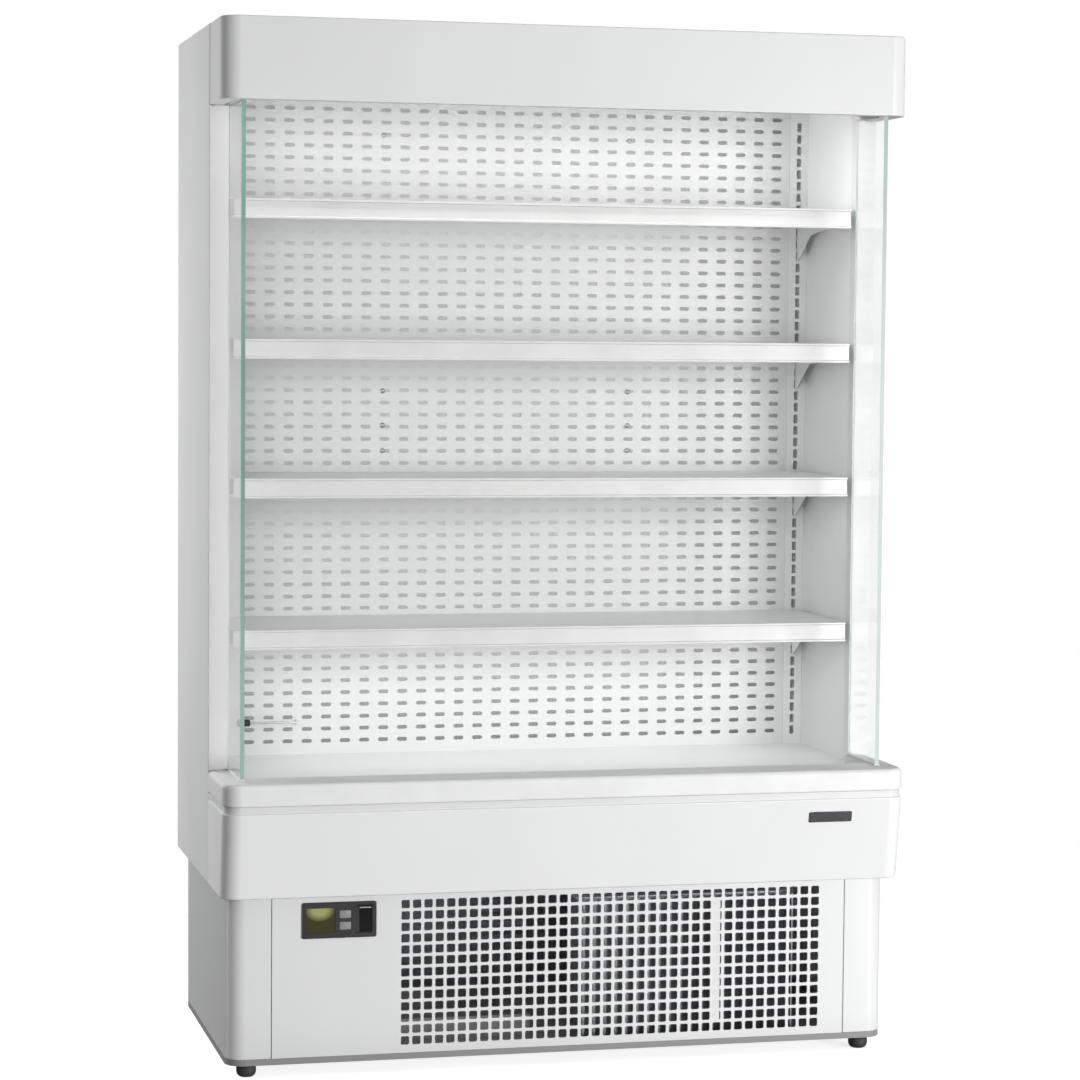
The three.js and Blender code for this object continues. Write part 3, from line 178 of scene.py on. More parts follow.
def painted(name, color, roughness, peel=0.06, cloud=0.035, wave=0.05):
    """Powder coat or enamel: a fine orange peel, faint clouding and faint handling marks in the gloss."""
    s = Shader(name, color, roughness)
    s.tint(s.spread(s.noise(2.3, 4), 0, 1), dimmed(color, 1 - cloud), color)
    s.set(Roughness=s.spread(s.noise(9, 5, (1, 1, 0.35)), roughness - 0.05, roughness + 0.07))
    s.bump(s.noise(420, 2), peel, 0.0004)
    s.bump(s.noise(3.1, 1), wave, 0.004)
    return s.material


def moulded(name, color, roughness, grain=0.12, **sockets):
    """Moulded plastic or rubber with a fine grain."""
    s = Shader(name, color, roughness, **sockets)
    s.tint(s.spread(s.noise(14, 4), 0, 1), dimmed(color, 0.93), color)
    s.set(Roughness=s.spread(s.noise(40), roughness - 0.05, roughness + 0.08))
    s.bump(s.noise(1600, 2), grain, 0.0002)
    return s.material


def galvanised(name, color):
    """Zinc-coated sheet with its spangle."""
    s = Shader(name, color, 0.42, Metallic=1.0)
    cells = s.add("TexVoronoi", {"Scale": 120, "Vector": s.place()})["Distance"]
    s.tint(s.spread(cells, 0, 1, 0, 0.7), dimmed(color, 0.72), color)
    s.set(Roughness=s.spread(s.noise(60), 0.34, 0.55))
    s.bump(s.noise(300, 2), 0.08, 0.0003)
    return s.material


def rolled(name, color, roughness, stretch=(0.05, 1, 1), grain=900):
    """Rolled or drawn metal with a grain along one axis."""
    s = Shader(name, color, roughness, Metallic=1.0)
    streaks = s.noise(grain, 3, stretch)
    s.tint(s.spread(streaks, 0, 1), dimmed(color, 0.82), color)
    s.set(Roughness=s.spread(streaks, roughness - 0.08, roughness + 0.12))
    s.bump(streaks, 0.1, 0.0002)
    return s.material


def woven(name, color):
    """Plain weave of the blind."""
    s = Shader(name, color, 0.85, Sheen_Weight=0.15)
    across, along = (s.add("TexWave", {"Scale": 260, "Distortion": 0.6, "Vector": s.place()},
                           wave_type="BANDS", bands_direction=axis)["Fac"] for axis in "XZ")
    threads = s.add("Math", {0: across, 1: along}, operation="MULTIPLY")["Value"]
    s.tint(threads, dimmed(color, 0.8), color)
    s.bump(threads, 0.5, 0.0003)
    return s.material


def clear_glass(name):
    """Float glass that lets light through to what stands behind it."""
    s = Shader(name, (0.975, 0.995, 0.985), 0.015, Transmission_Weight=1.0, IOR=1.38)
    s.set(Roughness=s.spread(s.noise(3, 4), 0.008, 0.03))
    path = s.add("LightPath", {})
    rays = {0: path["Is Shadow Ray"], 1: path["Is Diffuse Ray"]}
    either = s.add("Math", rays, operation="MAXIMUM")["Value"]
    s.set(Alpha=s.spread(either, 1.0, 0.1, 0, 1))
    return s.material


def glass_rim(name, dark, light):
    """Ground edge of float glass: green and slightly cloudy."""
    s = Shader(name, light, 0.18, Specular_IOR_Level=0.6)
    s.tint(s.spread(s.noise(7, 3, (1, 1, 0.5)), 0, 1), dark, light)
    return s.material


def glowing(name, color, strength):
    """Glass of a lit lamp."""
    s = Shader(name, color, 0.3, Emission_Color=(*color, 1.0), Emission_Strength=strength)
    s.tint(s.spread(s.noise(4, 1), 0, 1), dimmed(color, 0.97), color)
    return s.material


def display_glass(name):
    """Olive window of a small liquid crystal display, with a paler patch of painted light towards its top."""
    s = Shader(name, (0.18, 0.2, 0.05), 0.16, Coat_Weight=0.6, Coat_Roughness=0.08)
    x, z = -0.480, 0.321    # middle of the painted light patch
    across, up = 34, 44     # one over its reach
    centred = s.place((across, 0.001, up), (-x * across, 0, -z * up))
    painted_light_patch = s.add("TexGradient", {"Vector": centred}, gradient_type="SPHERICAL")["Fac"]
    s.tint(s.spread(painted_light_patch, 0, 1, 0.0, 0.55), (0.045, 0.048, 0.014), (0.38, 0.41, 0.16))
    return s.material


M = {
    "paint": painted("powder_coat_white", (0.80, 0.805, 0.81), 0.36),
    # painted light: a brighter copy of the white paint, making up for the light the leaning fascia misses
    "fascia": painted("powder_coat_fascia_painted_light", (0.885, 0.89, 0.895), 0.36),
    "side": painted("powder_coat_side", (0.74, 0.745, 0.75), 0.42),
    # painted shade: a darker copy of the white paint for the base panels' side faces
    "base": painted("powder_coat_base_side_painted_shade", (0.58, 0.585, 0.59), 0.42),
    # painted shade: a darker copy of the trim's finish, used only on the left wall's front trim
    "edge": painted("powder_coat_trim_painted_shade", (0.655, 0.64, 0.645), 0.42),
    "inner": painted("enamel_inner", (0.86, 0.865, 0.865), 0.38, peel=0.04, wave=0.01),
    "sheet": painted("enamel_back_panel", (0.78, 0.785, 0.785), 0.34, peel=0.04, wave=0.01),
    "rail": moulded("price_rail_plastic", (0.77, 0.77, 0.765), 0.34, 0.02),
    "bumper": moulded("bumper_plastic", (0.85, 0.855, 0.855), 0.42, 0.06),
    "comb": moulded("air_outlet_plastic", (0.82, 0.82, 0.80), 0.5, 0.08),
    "black": moulded("black_plastic", (0.022, 0.021, 0.019), 0.42),
    "rocker": moulded("rocker_plastic", (0.012, 0.012, 0.012), 0.6, 0.06, Specular_IOR_Level=0.1),
    "key": moulded("key_rubber", (0.27, 0.27, 0.27), 0.6),
    "frame": painted("frame_grey_paint", (0.30, 0.30, 0.305), 0.5),
    "zinc": galvanised("galvanised_sheet", (0.62, 0.64, 0.66)),
    "aluminium": rolled("rolled_aluminium", (0.78, 0.79, 0.80), 0.34),
    "fins": rolled("fin_stock", (0.42, 0.43, 0.44), 0.5, (1, 1, 0.05)),
    "steel": rolled("screw_steel", (0.45, 0.45, 0.46), 0.35, (1, 1, 1), 1500),
    "plate": rolled("badge_metal", (0.13, 0.13, 0.135), 0.34, (0.03, 1, 1), 2200),
    "satin_black": painted("satin_black_paint", (0.018, 0.018, 0.02), 0.38, peel=0.1),
    "rubber": moulded("foot_rubber_black", (0.05, 0.05, 0.05), 0.65, 0.2),
    "glass": clear_glass("float_glass"),
    "rim": glass_rim("float_glass_edge", (0.17, 0.36, 0.29), (0.33, 0.53, 0.45)),
    # painted light: a paler copy of the green glass edge, for the right pane
    "pale_rim": glass_rim("float_glass_edge_painted_light", (0.42, 0.51, 0.48), (0.50, 0.58, 0.555)),
    "lamp": glowing("lamp_glass", (1.0, 0.99, 0.97), 1.6),
    "cloth": woven("blind_weave", (0.78, 0.78, 0.75)),
    "display": display_glass("display_window_glass"),
}

# ---- mesh helpers

SIDES = (("left", -1), ("right", 1))


def mesh_object(name, verts, faces, materials, angle):
    """An object from points in millimetres, its faces turned outwards and shaded smooth up to an angle."""
    mesh = bpy.data.meshes.new(name)
    mesh.from_pydata([tuple(c * MM for c in v) for v in verts], [], faces)
    work = bmesh.new()
    work.from_mesh(mesh)
    bmesh.ops.recalc_face_normals(work, faces=work.faces)
    work.to_mesh(mesh)
    work.free()
    for key in materials:
        mesh.materials.append(M[key])
    mesh.shade_smooth()
    mesh.set_sharp_from_angle(angle=math.radians(angle))
    return add_object(name, mesh)


def piece(name, verts, faces, material, body="cabinet", slot=None, bevel=0.0, segments=2,
          replaces=None, angle=32, even=False):
    """A mesh piece with eased edges, riding on a body, which may stand for a CAD node. An even piece shades
    its wide faces flat up to its drawn roundings."""
    materials = material if isinstance(material, list) else [material]
    thing = mesh_object(name, verts, faces, materials, angle)
    if bevel:
        edge = thing.modifiers.new("eased", "BEVEL")
        edge.width = bevel * MM
        edge.segments = segments
        edge.limit_method = "ANGLE"
        edge.angle_limit = math.radians(angle)
        edge.harden_normals = True
        edge.use_clamp_overlap = True
    if even:
        weighted = thing.modifiers.new("even", "WEIGHTED_NORMAL")
        weighted.keep_sharp = True
        weighted.weight = 100
    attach(thing, body)
    if replaces:
        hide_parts(replaces)
    return thing


def mirrored(side, a, b):
    """The span from a to b, on the right (1) or on the left (-1)."""
    return sorted((side * a, side * b))


def in_line(total):
    """Each of a row with the next."""
    return [(a, a + 1) for a in range(total - 1)]


def round_pairs(total):
    """Each of a ring with the next, and the last with the first."""
    return [(a, (a + 1) % total) for a in range(total)]


def quads(count, rings, steps):
    """A quad for each step along each pair of rings, which have count points."""
    return [(a * count + i, a * count + j, b * count + j, b * count + i) for a, b in rings for i, j in steps]


def stack(outlines):
    """Closed solid through outlines of equal point counts."""
    verts = [v for outline in outlines for v in outline]
    count = len(outlines[0])
    faces = quads(count, in_line(len(outlines)), round_pairs(count))
    faces.append(tuple(range(count))[::-1])
    faces.append(tuple(range(len(verts) - count, len(verts))))
    return verts, faces


def along(axis):
    """Turns a and b across an axis and c along it into a point."""
    return {"X": lambda a, b, c: (c, a, b),
            "Y": lambda a, b, c: (a, c, b),
            "Z": lambda a, b, c: (a, b, c)}[axis]


def prism(points, axis, low, high):
    """Outline pushed along an axis."""
    return stack([[along(axis)(a, b, c) for a, b in points] for c in (low, high)])


def rectangle(a, b):
    return [(a[0], b[0]), (a[1], b[0]), (a[1], b[1]), (a[0], b[1])]


def box(x, y, z):
    return prism(rectangle(x, y), "Z", *z)


def merged(*parts):
    verts, faces = [], []
    for more_verts, more_faces in parts:
        offset = len(verts)
        verts += more_verts
        faces += [tuple(i + offset for i in face) for face in more_faces]
    return verts, faces


def arc(a, b, radius, start, steps, sweep=90):
    """Points round a centre, counter-clockwise from an angle in degrees."""
    turns = [math.radians(start + sweep * i / steps) for i in range(steps + 1)]
    return [(a + radius * math.cos(turn), b + radius * math.sin(turn)) for turn in turns]


def rounded(a, b, radius, steps=5):
    """Rounded rectangle."""
    (a0, a1), (b0, b1) = ((low + radius, high - radius) for low, high in (a, b))
    return (arc(a1, b0, radius, -90, steps) + arc(a1, b1, radius, 0, steps)
            + arc(a0, b1, radius, 90, steps) + arc(a0, b0, radius, 180, steps))


def lathe(profile, centre, axis="Z", sides=40):
    """Solid of revolution: profile of (radius, height) whose first and last radius are 0."""
    verts, faces, rings = [], [], []
    steps = [2 * math.pi * i / sides for i in range(sides)]
    for radius, height in profile:
        if radius < 1e-6:
            rings.append([len(verts)])
            verts.append((0.0, 0.0, height))
        else:
            rings.append(list(range(len(verts), len(verts) + sides)))
            verts += [(radius * math.cos(step), radius * math.sin(step), height) for step in steps]
    for first, second in zip(rings, rings[1:]):
        for i, j in round_pairs(sides):
            if len(first) == 1:
                faces.append((first[0], second[i], second[j]))
            elif len(second) == 1:
                faces.append((first[i], second[0], first[j]))
            else:
                faces.append((first[i], second[i], second[j], first[j]))
    return [tuple(a + b for a, b in zip(along(axis)(*v), centre)) for v in verts], faces


def tube_profile(radius, low, high, ease):
    """Profile of a rod with eased ends."""
    return [(0, low), (radius - ease, low), (radius - ease * 0.3, low + ease * 0.3), (radius, low + ease),
            (radius, high - ease), (radius - ease * 0.3, high - ease * 0.3), (radius - ease, high), (0, high)]


def wrap_path(half, front, rear, radius):
    """Plan of a shell: side, round corner, front, round corner, side."""
    steps, middle = 14, front + radius
    return ([(-half, rear)] + arc(radius - half, middle, radius, 180, steps)
            + arc(half - radius, middle, radius, 270, steps) + [(half, rear)])


def wrap_verts(rings):
    """Points of a shell from its plans and their heights."""
    return [(x, y, z) for path, z in rings for x, y in path]


def sheet_with_holes(xs, zs, y, outline_of):
    """Flat sheet between two planes y, on grid lines xs and zs. outline_of(i, j) gives the eight-cornered
    hole of a cell, or None for a plain cell, or False for a cell that is cut away."""
    verts, faces, grid = [], [], {}

    def corner(i, j, side):
        key = (i, j, side)
        if key not in grid:
            grid[key] = len(verts)
            verts.append((xs[i], y[side], zs[j]))
        return grid[key]

    gone = set()
    for i in range(len(xs) - 1):
        for j in range(len(zs) - 1):
            hole = outline_of(i, j)
            if hole is False:
                gone.add((i, j))
                continue
            rings = []
            for side in (0, 1):
                quad = [corner(i + di, j + dj, side) for di, dj in ((0, 0), (1, 0), (1, 1), (0, 1))]
                if hole is None:
                    faces.append(tuple(quad))
                    continue
                start = len(verts)
                verts += [(a, y[side], b) for a, b in hole]
                ring = list(range(start, start + 8))
                for k, n in round_pairs(4):
                    faces.append((quad[k], ring[2 * k], ring[2 * k + 1]))
                    faces.append((quad[k], ring[2 * k + 1], ring[2 * n], quad[n]))
                rings.append(ring)
            if hole:
                front, back = rings
                faces += [(front[k], front[n], back[n], back[k]) for k, n in round_pairs(8)]
    columns, rows = len(xs) - 1, len(zs) - 1

    def solid(i, j):
        return 0 <= i < columns and 0 <= j < rows and (i, j) not in gone

    for i in range(columns):
        for j in range(rows):
            if not solid(i, j):
                continue
            for di, dj, a, b in ((-1, 0, (0, 0), (0, 1)), (1, 0, (1, 0), (1, 1)),
                                 (0, -1, (0, 0), (1, 0)), (0, 1, (0, 1), (1, 1))):
                if not solid(i + di, j + dj):
                    p, q = (i + a[0], j + a[1]), (i + b[0], j + b[1])
                    faces.append((corner(*p, 0), corner(*q, 0), corner(*q, 1), corner(*p, 1)))
    return verts, faces


def slots(xs, zs, columns, rows, width, height, ease):
    """Chooser for sheet_with_holes: one hole with cut corners in the middle of each cell of these columns and
    rows. Its eight corners go round from the lower left."""
    w, h = width / 2, height / 2
    shape = [(-w, ease - h), (ease - w, -h), (w - ease, -h), (w, ease - h),
             (w, h - ease), (w - ease, h), (ease - w, h), (-w, h - ease)]

    def outline_of(i, j):
        if i in columns and j in rows:
            x, z = (xs[i] + xs[i + 1]) / 2, (zs[j] + zs[j + 1]) / 2
            return [(x + a, z + b) for a, b in shape]
        return None

    return outline_of


def lines(start, stop, count):
    """Evenly spaced grid lines, count cells."""
    return [start + (stop - start) * i / count for i in range(count + 1)]


def second_finish(thing, test):
    """Gives the piece's second finish to the faces that pass the test."""
    for face in thing.data.polygons:
        if test(face):
            face.material_index = 1


# ---- insulated body


def build_walls():
    for name, side in SIDES:
        wall = box(mirrored(side, INNER, HALF), (WALL_FRONT, REAR), (BODY_BOTTOM, HEIGHT))
        wall = piece(f"side_wall_{name}_panel", *wall, ["side", "inner"], bevel=1.6, segments=3,
                     replaces=f"side_wall_{name}")
        second_finish(wall, lambda face: face.normal.x * side < -0.9)
        face = mirrored(side, INNER + 0.5, HALF - 0.5)
        # the left trim takes the darker copy of the right trim's finish: painted shade on the left
        piece(f"wall_edge_trim_{name}", *box(face, (-126.3, -125.2), (BUMPER_TOP + 1, HEADER_BOTTOM - 1)),
              "edge" if side < 0 else "rail", bevel=0.4)
        lap = mirrored(side, INNER - 1.4, INNER - 0.2)
        piece(f"wall_inner_trim_{name}", *box(lap, (-124.8, -78), (BUMPER_TOP + 1, 1864)), "rail", bevel=0.4)
    between = (SEAT - INNER, INNER - SEAT)
    piece("rear_wall_panel", *box(between, (REAR_WALL, REAR), (BODY_BOTTOM, HEIGHT)), "side", bevel=1.4,
          segments=3, replaces="rear_wall")
    piece("roof_sheet", *box(between, (WALL_FRONT, REAR_WALL - SEAT), (1960, HEIGHT)), "side", bevel=1.4,
          segments=3, replaces="roof_panel")


def dress_nodes():
    """CAD nodes whose own shape shows."""
    for key, nodes in (("inner", ("tub", "deck_tray", "ceiling_panel")), ("rail", ("lamp_batten",)),
                       ("frame", ("base_frame",)), ("fins", ("condenser", "evaporator")),
                       ("satin_black", ("condenser_shroud", "condenser_fan", "evaporator_fan_left",
                                        "evaporator_fan_right")), ("display", ("display_window",))):
        for node in nodes:
            data = NODES[node].data
            data.materials.clear()
            data.materials.append(M[key])


def build_header():
    top_ease, low_ease, skin, lip, seal = 3.0, 2.0, 3.0, 25.0, 9.0
    rear = RETURN_END - seal

    def ring(z, inset):
        return wrap_path(HALF - inset, HEADER_FRONT + inset, rear, CORNER - inset), z

    outer = [(HEADER_BOTTOM, low_ease), (HEADER_BOTTOM + low_ease * 0.3, low_ease * 0.3),
             (HEADER_BOTTOM + low_ease, 0), (HEIGHT - top_ease, 0), (HEIGHT - top_ease * 0.3, top_ease * 0.3),
             (HEIGHT, top_ease)]
    inner = [(HEIGHT - skin, skin), (HEADER_BOTTOM + skin, skin), (HEADER_BOTTOM + skin, lip),
             (HEADER_BOTTOM, lip)]
    rings = [ring(z, inset) for z, inset in outer + inner]
    count = len(rings[0][0])
    lid, under = 5 * count, 6 * count
    faces = quads(count, in_line(6), in_line(count))
    faces.append(tuple(lid + i for i in range(count)))
    faces.append(tuple(under + i for i in reversed(range(count))))
    faces += quads(count, [(6, 7), (7, 8), (8, 9), (9, 0)], in_line(count))
    for end in (0, count - 1):
        side = [k * count + end for k in range(6)]
        low = [k * count + end for k in range(6, 10)]
        # rear edge of the side return, in two polygons
        faces.append(tuple(side[:4] + low))
        faces.append((side[3], side[4], side[5], low[0]))
    # rear edge of the lid
    faces.append((lid, lid + count - 1, under + count - 1, under))
    piece("header_shell", wrap_verts(rings), faces, "paint", replaces="header_fascia", even=True)
    # dark rubber seal between the header and the insulated body, made wide and dark enough to paint the
    # seam's shadow line as well
    depth = (rear, RETURN_END)
    strips = [box(mirrored(side, HALF - 5, HALF - 0.8), depth, (HEADER_BOTTOM + 1, HEIGHT - 1))
              for name, side in SIDES]
    strips.append(box((5 - HALF, HALF - 5), depth, (HEIGHT - 5, HEIGHT - 1)))
    piece("header_seal", *merged(*strips), "rubber")
    # round-bottomed plates that carry the blind's roller
    radius = 10.0
    rim = arc(ROLL_Y, ROLL_Z, radius, 180, 12, sweep=180)
    outline = rim + [(ROLL_Y + radius, HEIGHT - skin), (ROLL_Y - radius, HEIGHT - skin)]
    for name, side in SIDES:
        piece(f"blind_hanger_{name}", *prism(outline, "X", *mirrored(side, 624.5, 627.5)), "zinc", bevel=0.4)


def build_bumper():
    top, skin = BUMPER_TOP, 3.0
    nose = [(BUMPER_BOTTOM, 3.0), (BUMPER_BOTTOM + 1.0, 1.0), (BUMPER_BOTTOM + 3, 0), (top - 9, 0),
            (top - 5.6, 0.7), (top - 2.6, 2.6), (top - 0.7, 5.6), (top, 9)]

    def ring(z, inset):
        return wrap_path(HALF - inset, FRONT + inset, RETURN_END, CORNER - inset), z

    # the ledge inside stops at the return air grille
    ledge_half, ledge_front = 620.5, FRONT + 95
    ledge = wrap_path(ledge_half, ledge_front, RETURN_END, 6)
    behind = wrap_path(ledge_half + skin, ledge_front - skin, RETURN_END, 7)
    rings = [ring(z, inset) for z, inset in nose]
    rings += [(ledge, top), (ledge, LEDGE_LOW), (behind, LEDGE_LOW), (behind, top - skin),
              ring(top - skin, 9), ring(top - 9, skin), ring(BUMPER_BOTTOM, skin)]
    count, total = len(ledge), len(rings)
    faces = quads(count, round_pairs(total), in_line(count))
    for end in (0, count - 1):
        for rim in ((7, 8, 9, 10, 11, 12), (0, 1, 2, 3, 13, 14), (3, 4, 5, 6, 7, 12, 13)):
            faces.append(tuple(k * count + end for k in rim))
    piece("bumper_top_rail", wrap_verts(rings), faces, "bumper", replaces="bumper_rail", even=True)


def build_fascia():
    def front_at(z):
        """The front leans back below the groove."""
        return FRONT + FASCIA_LEAN * (FASCIA_TOP - min(z, FASCIA_TOP)) / (FASCIA_TOP - BODY_BOTTOM)

    groove_top = BUMPER_BOTTOM - SEAT
    outline = [(BODY_BOTTOM, 2.5), (BODY_BOTTOM + 0.8, 0.8), (BODY_BOTTOM + 2.5, 0), (FASCIA_TOP - 2.5, 0),
               (FASCIA_TOP - 0.8, 0.8), (FASCIA_TOP, 2.5), (FASCIA_TOP + 0.5, 4), (groove_top, 4),
               (groove_top, 8.5), (BODY_BOTTOM, 8.4)]
    rings = [(wrap_path(HALF - inset, inset + front_at(z), RETURN_END, CORNER - inset), z)
             for z, inset in outline]
    count, total = len(rings[0][0]), len(rings)
    faces = quads(count, round_pairs(total), in_line(count))
    for end in (0, count - 1):
        faces.append(tuple(k * count + end for k in range(total)))
    shell = piece("fascia_shell", wrap_verts(rings), faces, ["fascia", "side"], replaces="fascia_panel",
                  even=True)
    # the recessed neck above the fascia's front takes the darker side paint: painted shade in the groove
    second_finish(shell, lambda face: face.center.z > (FASCIA_TOP + 0.2) * MM)
    # tapered run-outs of the groove towards the side walls
    for name, side in SIDES:
        near, far = side * (HALF - 3.9), side * (HALF - 0.3)
        plan = [(near, RETURN_END), (far, RETURN_END), (far, -130), (near, -170)]
        piece(f"groove_end_{name}", *prism(plan, "Z", FASCIA_TOP + 0.6, BUMPER_BOTTOM - 0.6), "side",
              slot="white_plastic", bevel=0.2)
    flange = box((-HALF + 40, HALF - 40), (FRONT + FASCIA_LEAN + 9, -268.3), (BODY_BOTTOM, BODY_BOTTOM + 4.5))
    piece("fascia_floor", *flange, "paint", bevel=0.5)
    # badge plate without any marking, lying on the leaning fascia
    lean = math.atan2(FASCIA_LEAN, FASCIA_TOP - BODY_BOTTOM)
    x, z = 518.5, 481.0
    turn = Matrix.Translation((x, front_at(z) - 0.05, z)) @ Matrix.Rotation(lean, 4, "X")
    verts, faces = prism(rounded((-43.5, 43.5), (-10.5, 10.5), 2.5), "Y", -2.2, 0)
    piece("badge_plate", [tuple(turn @ Vector(v)) for v in verts], faces, "plate", bevel=0.7, segments=3)


def build_glass():
    for name, side in SIDES:
        pane = box(mirrored(side, GLASS_INNER, INNER), (-285, RETURN_END),
                   (BUMPER_TOP + SEAT, HEADER_BOTTOM - SEAT))
        # the right pane's edges take the paler copy of the rim: painted light
        pane = piece(f"glass_pane_{name}", *pane, ["glass", "rim" if side < 0 else "pale_rim"],
                     replaces=f"glass_{name}", angle=20)
        second_finish(pane, lambda face: abs(face.normal.x) < 0.9)
        shoe = box(mirrored(side, GLASS_INNER - 1.5, INNER + 1.5), (-286.5, -127),
                   (BUMPER_TOP + 0.1, BUMPER_TOP + 4))
        piece(f"glass_shoe_{name}", *shoe, "bumper", bevel=0.6)


# ---- display space


def build_back_panel():
    half, pitch_x, pitch_z = 593.9, 39.64, 24.7
    columns, rows = 29, 53
    slot_width, slot_height, ease = 21, 8, 2.6
    left = -545 - pitch_x / 2
    top = 1868 + pitch_z / 2
    xs = [-half] + lines(left, left + columns * pitch_x, columns) + [half]
    zs = [554.0] + lines(top - rows * pitch_z, top, rows) + [1889.7]
    holes = slots(xs, zs, range(1, columns + 1), range(1, rows + 1), slot_width, slot_height, ease)
    piece("back_sheet", *sheet_with_holes(xs, zs, (PANEL_FRONT, PANEL_FRONT + 1.5), holes), "sheet",
          replaces="back_panel", angle=40)
    # radius and height of a round-headed screw, with its recess
    head = [(0, 0), (5.2, 0), (5.2, 0.5), (4.6, 1.6), (3.0, 2.4), (1.2, 2.6), (1.2, 1.4), (0, 1.4)]
    spots = [(x, z) for x in (-272.2, 246.0) for z in (1817.5, 1299, 1229, 1177)]
    for n, (x, z) in enumerate(spots, 1):
        shape = lathe([(r, -a) for r, a in head], (x, PANEL_FRONT, z), "Y", 20)
        piece(f"panel_screw_{n}", *shape, "steel")


def build_uprights():
    """Closed channels flush with the back panel, with a row of slots for the brackets' hooks."""
    near, far, skin, end_gap = 594.2, INNER - SEAT, 2, 16
    slot_width, slot_height, ease = 9, 18, 1.5
    front, back, wall = PANEL_FRONT + skin, PANEL_FRONT + 20, REAR_WALL - SEAT
    for name, side in SIDES:
        low, high = (corner[2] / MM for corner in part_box(f"upright_{name}"))
        first = LEVELS[0] - 12.3
        below, above = (int((room - end_gap) // HOOK_PITCH) for room in (first - low, high - first))
        xs = [side * x for x in (near, 604.0, 624.4, far)][::side]
        zs = [low] + [first + (k - 0.5) * HOOK_PITCH for k in range(-below, above + 2)] + [high]
        holes = slots(xs, zs, (1,), range(1, below + above + 2), slot_width, slot_height, ease)
        piece(f"upright_{name}_face", *sheet_with_holes(xs, zs, (PANEL_FRONT, front), holes), "inner",
              replaces=f"upright_{name}", angle=40)
        plan = [(near, front), (near, back), (far - skin, back), (far - skin, wall), (far, wall),
                (far, front), (far - skin, front), (far - skin, back - skin), (near + skin, back - skin),
                (near + skin, front)]
        piece(f"upright_{name}_channel", *prism([(side * x, y) for x, y in plan], "Z", low, high), "inner")


def build_shelves():
    ends = (-618, 618)
    front, rear, skin = WALL_FRONT + 7.0, 190.0, 2
    lip_height, rear_height, rail_height = 36, 14, 38
    for n, level in enumerate(LEVELS, 1):
        body = f"shelf_unit_{n}"
        under = level - skin
        low, rear_low = level - lip_height, level - rear_height
        outline = [(front, level), (front, low), (front + skin, low), (front + skin, under),
                   (rear - skin, under), (rear - skin, rear_low), (rear, rear_low), (rear, level)]
        piece(f"shelf_{n}_sheet", *prism(outline, "X", *ends), "inner", body, bevel=0.8,
              replaces=f"shelf_{n}")
        # channel for price tickets, open between its two lips
        back, lip, base = front - SEAT, WALL_FRONT, -121.4
        low = level - rail_height
        rail = [(back, level), (back, low), (lip, low), (lip, level - 34.5),
                (base, level - 33.0), (base, level - 5.0), (lip, level - 3.5), (lip, level)]
        piece(f"price_rail_{n}_profile", *prism(rail, "X", *ends), "rail", body, bevel=0.5,
              replaces=f"price_rail_{n}")
        top = under - SEAT
        hook, low_hook = top - 10, top - 87.2
        face, tip = 199.7, 208
        plate = [(-115.7, top), (-115.7, top - 22), (-112, top - 26), (60, top - 36), (115, top - 42),
                 (190, top - 90), (face, top - 95), (face, low_hook), (tip - 2, low_hook),
                 (tip, low_hook + 2.2), (tip, low_hook + 8), (face, low_hook + 8), (face, hook - 4),
                 (tip - 2, hook - 4), (tip, hook - 2), (tip, hook + 4), (face, hook + 4), (face, top)]
        for name, side in SIDES:
            piece(f"bracket_{name}_{n}_plate", *prism(plate, "X", *mirrored(side, 611.7, 614.2)), "inner",
                  body, bevel=0.5, replaces=f"bracket_{name}_{n}")
            flange = box(mirrored(side, 600.5, 611.9), (-100, 188), (top - 1.8, top))
            piece(f"bracket_{name}_{n}_seat", *flange, "inner", body, bevel=0.4)


def laid_sheet(xs, ys, z, holes):
    """Sheet with holes that lies flat, between two planes z."""
    verts, faces = sheet_with_holes(xs, ys, z, holes)
    return [(x, b, a) for x, a, b in verts], faces


def build_deck():
    half, columns = 620.2, 55
    xs = [-half] + lines(-605, 605, columns) + [half]
    ys = [-244.7, -238, -211, -184, -175.3]
    holes = slots(xs, ys, range(1, columns + 1), (1, 2), 15, 21, 3)
    piece("return_grille_sheet", *laid_sheet(xs, ys, (DECK_TOP - 2, DECK_TOP), holes), "inner",
          replaces="return_air_grille", angle=40)
    piece("return_grille_foot", *box((-half, half), (ys[0], ys[0] + 2), (LEDGE_LOW, 553.9)), "inner",
          bevel=0.4)


def build_comb():
    half, columns = INNER - SEAT, 96
    xs = [-half] + lines(4 - half, half - 4, columns) + [half]
    ys = [-250.3] + lines(-248.3, -192.3, 5) + [-190.3]
    holes = slots(xs, ys, range(1, columns + 1), range(1, 6), 11.6, 9.8, 2.6)
    piece("air_outlet_comb", *laid_sheet(xs, ys, (CEILING - 20, CEILING), holes), "comb",
          replaces="air_honeycomb", angle=40)


def build_lamp():
    tube = lathe(tube_profile(8, -600.0, 600.0, 2.0), (0, -170, 1866), "X", 32)
    piece("lamp_tube_glass", *tube, "lamp", replaces="lamp_tube")


def build_probe():
    y, z = 192.0, 624.0
    rod = lathe(tube_profile(2.0, -546, -444, 0.8), (0, y, z), "X", 16)
    piece("probe_rod", *rod, "aluminium", slot="galvanised")
    bulb = [(0, -563), (4.5, -563), (6.6, -561), (7, -558.5), (7, -547), (5.6, -544.4), (0, -544.4)]
    piece("probe_grommet", *lathe(bulb, (0, y, z), "X", 24), "black", replaces="temperature_probe")
    for n, x in enumerate((-558.0, -450.0), 1):
        outline = rounded((x, x + 4), (z - 4, z + 4), 1.2, 3)
        piece(f"probe_clip_{n}", *prism(outline, "Y", y - 1.5, PANEL_FRONT - SEAT), "rail", bevel=0.4)


# ---- night blind


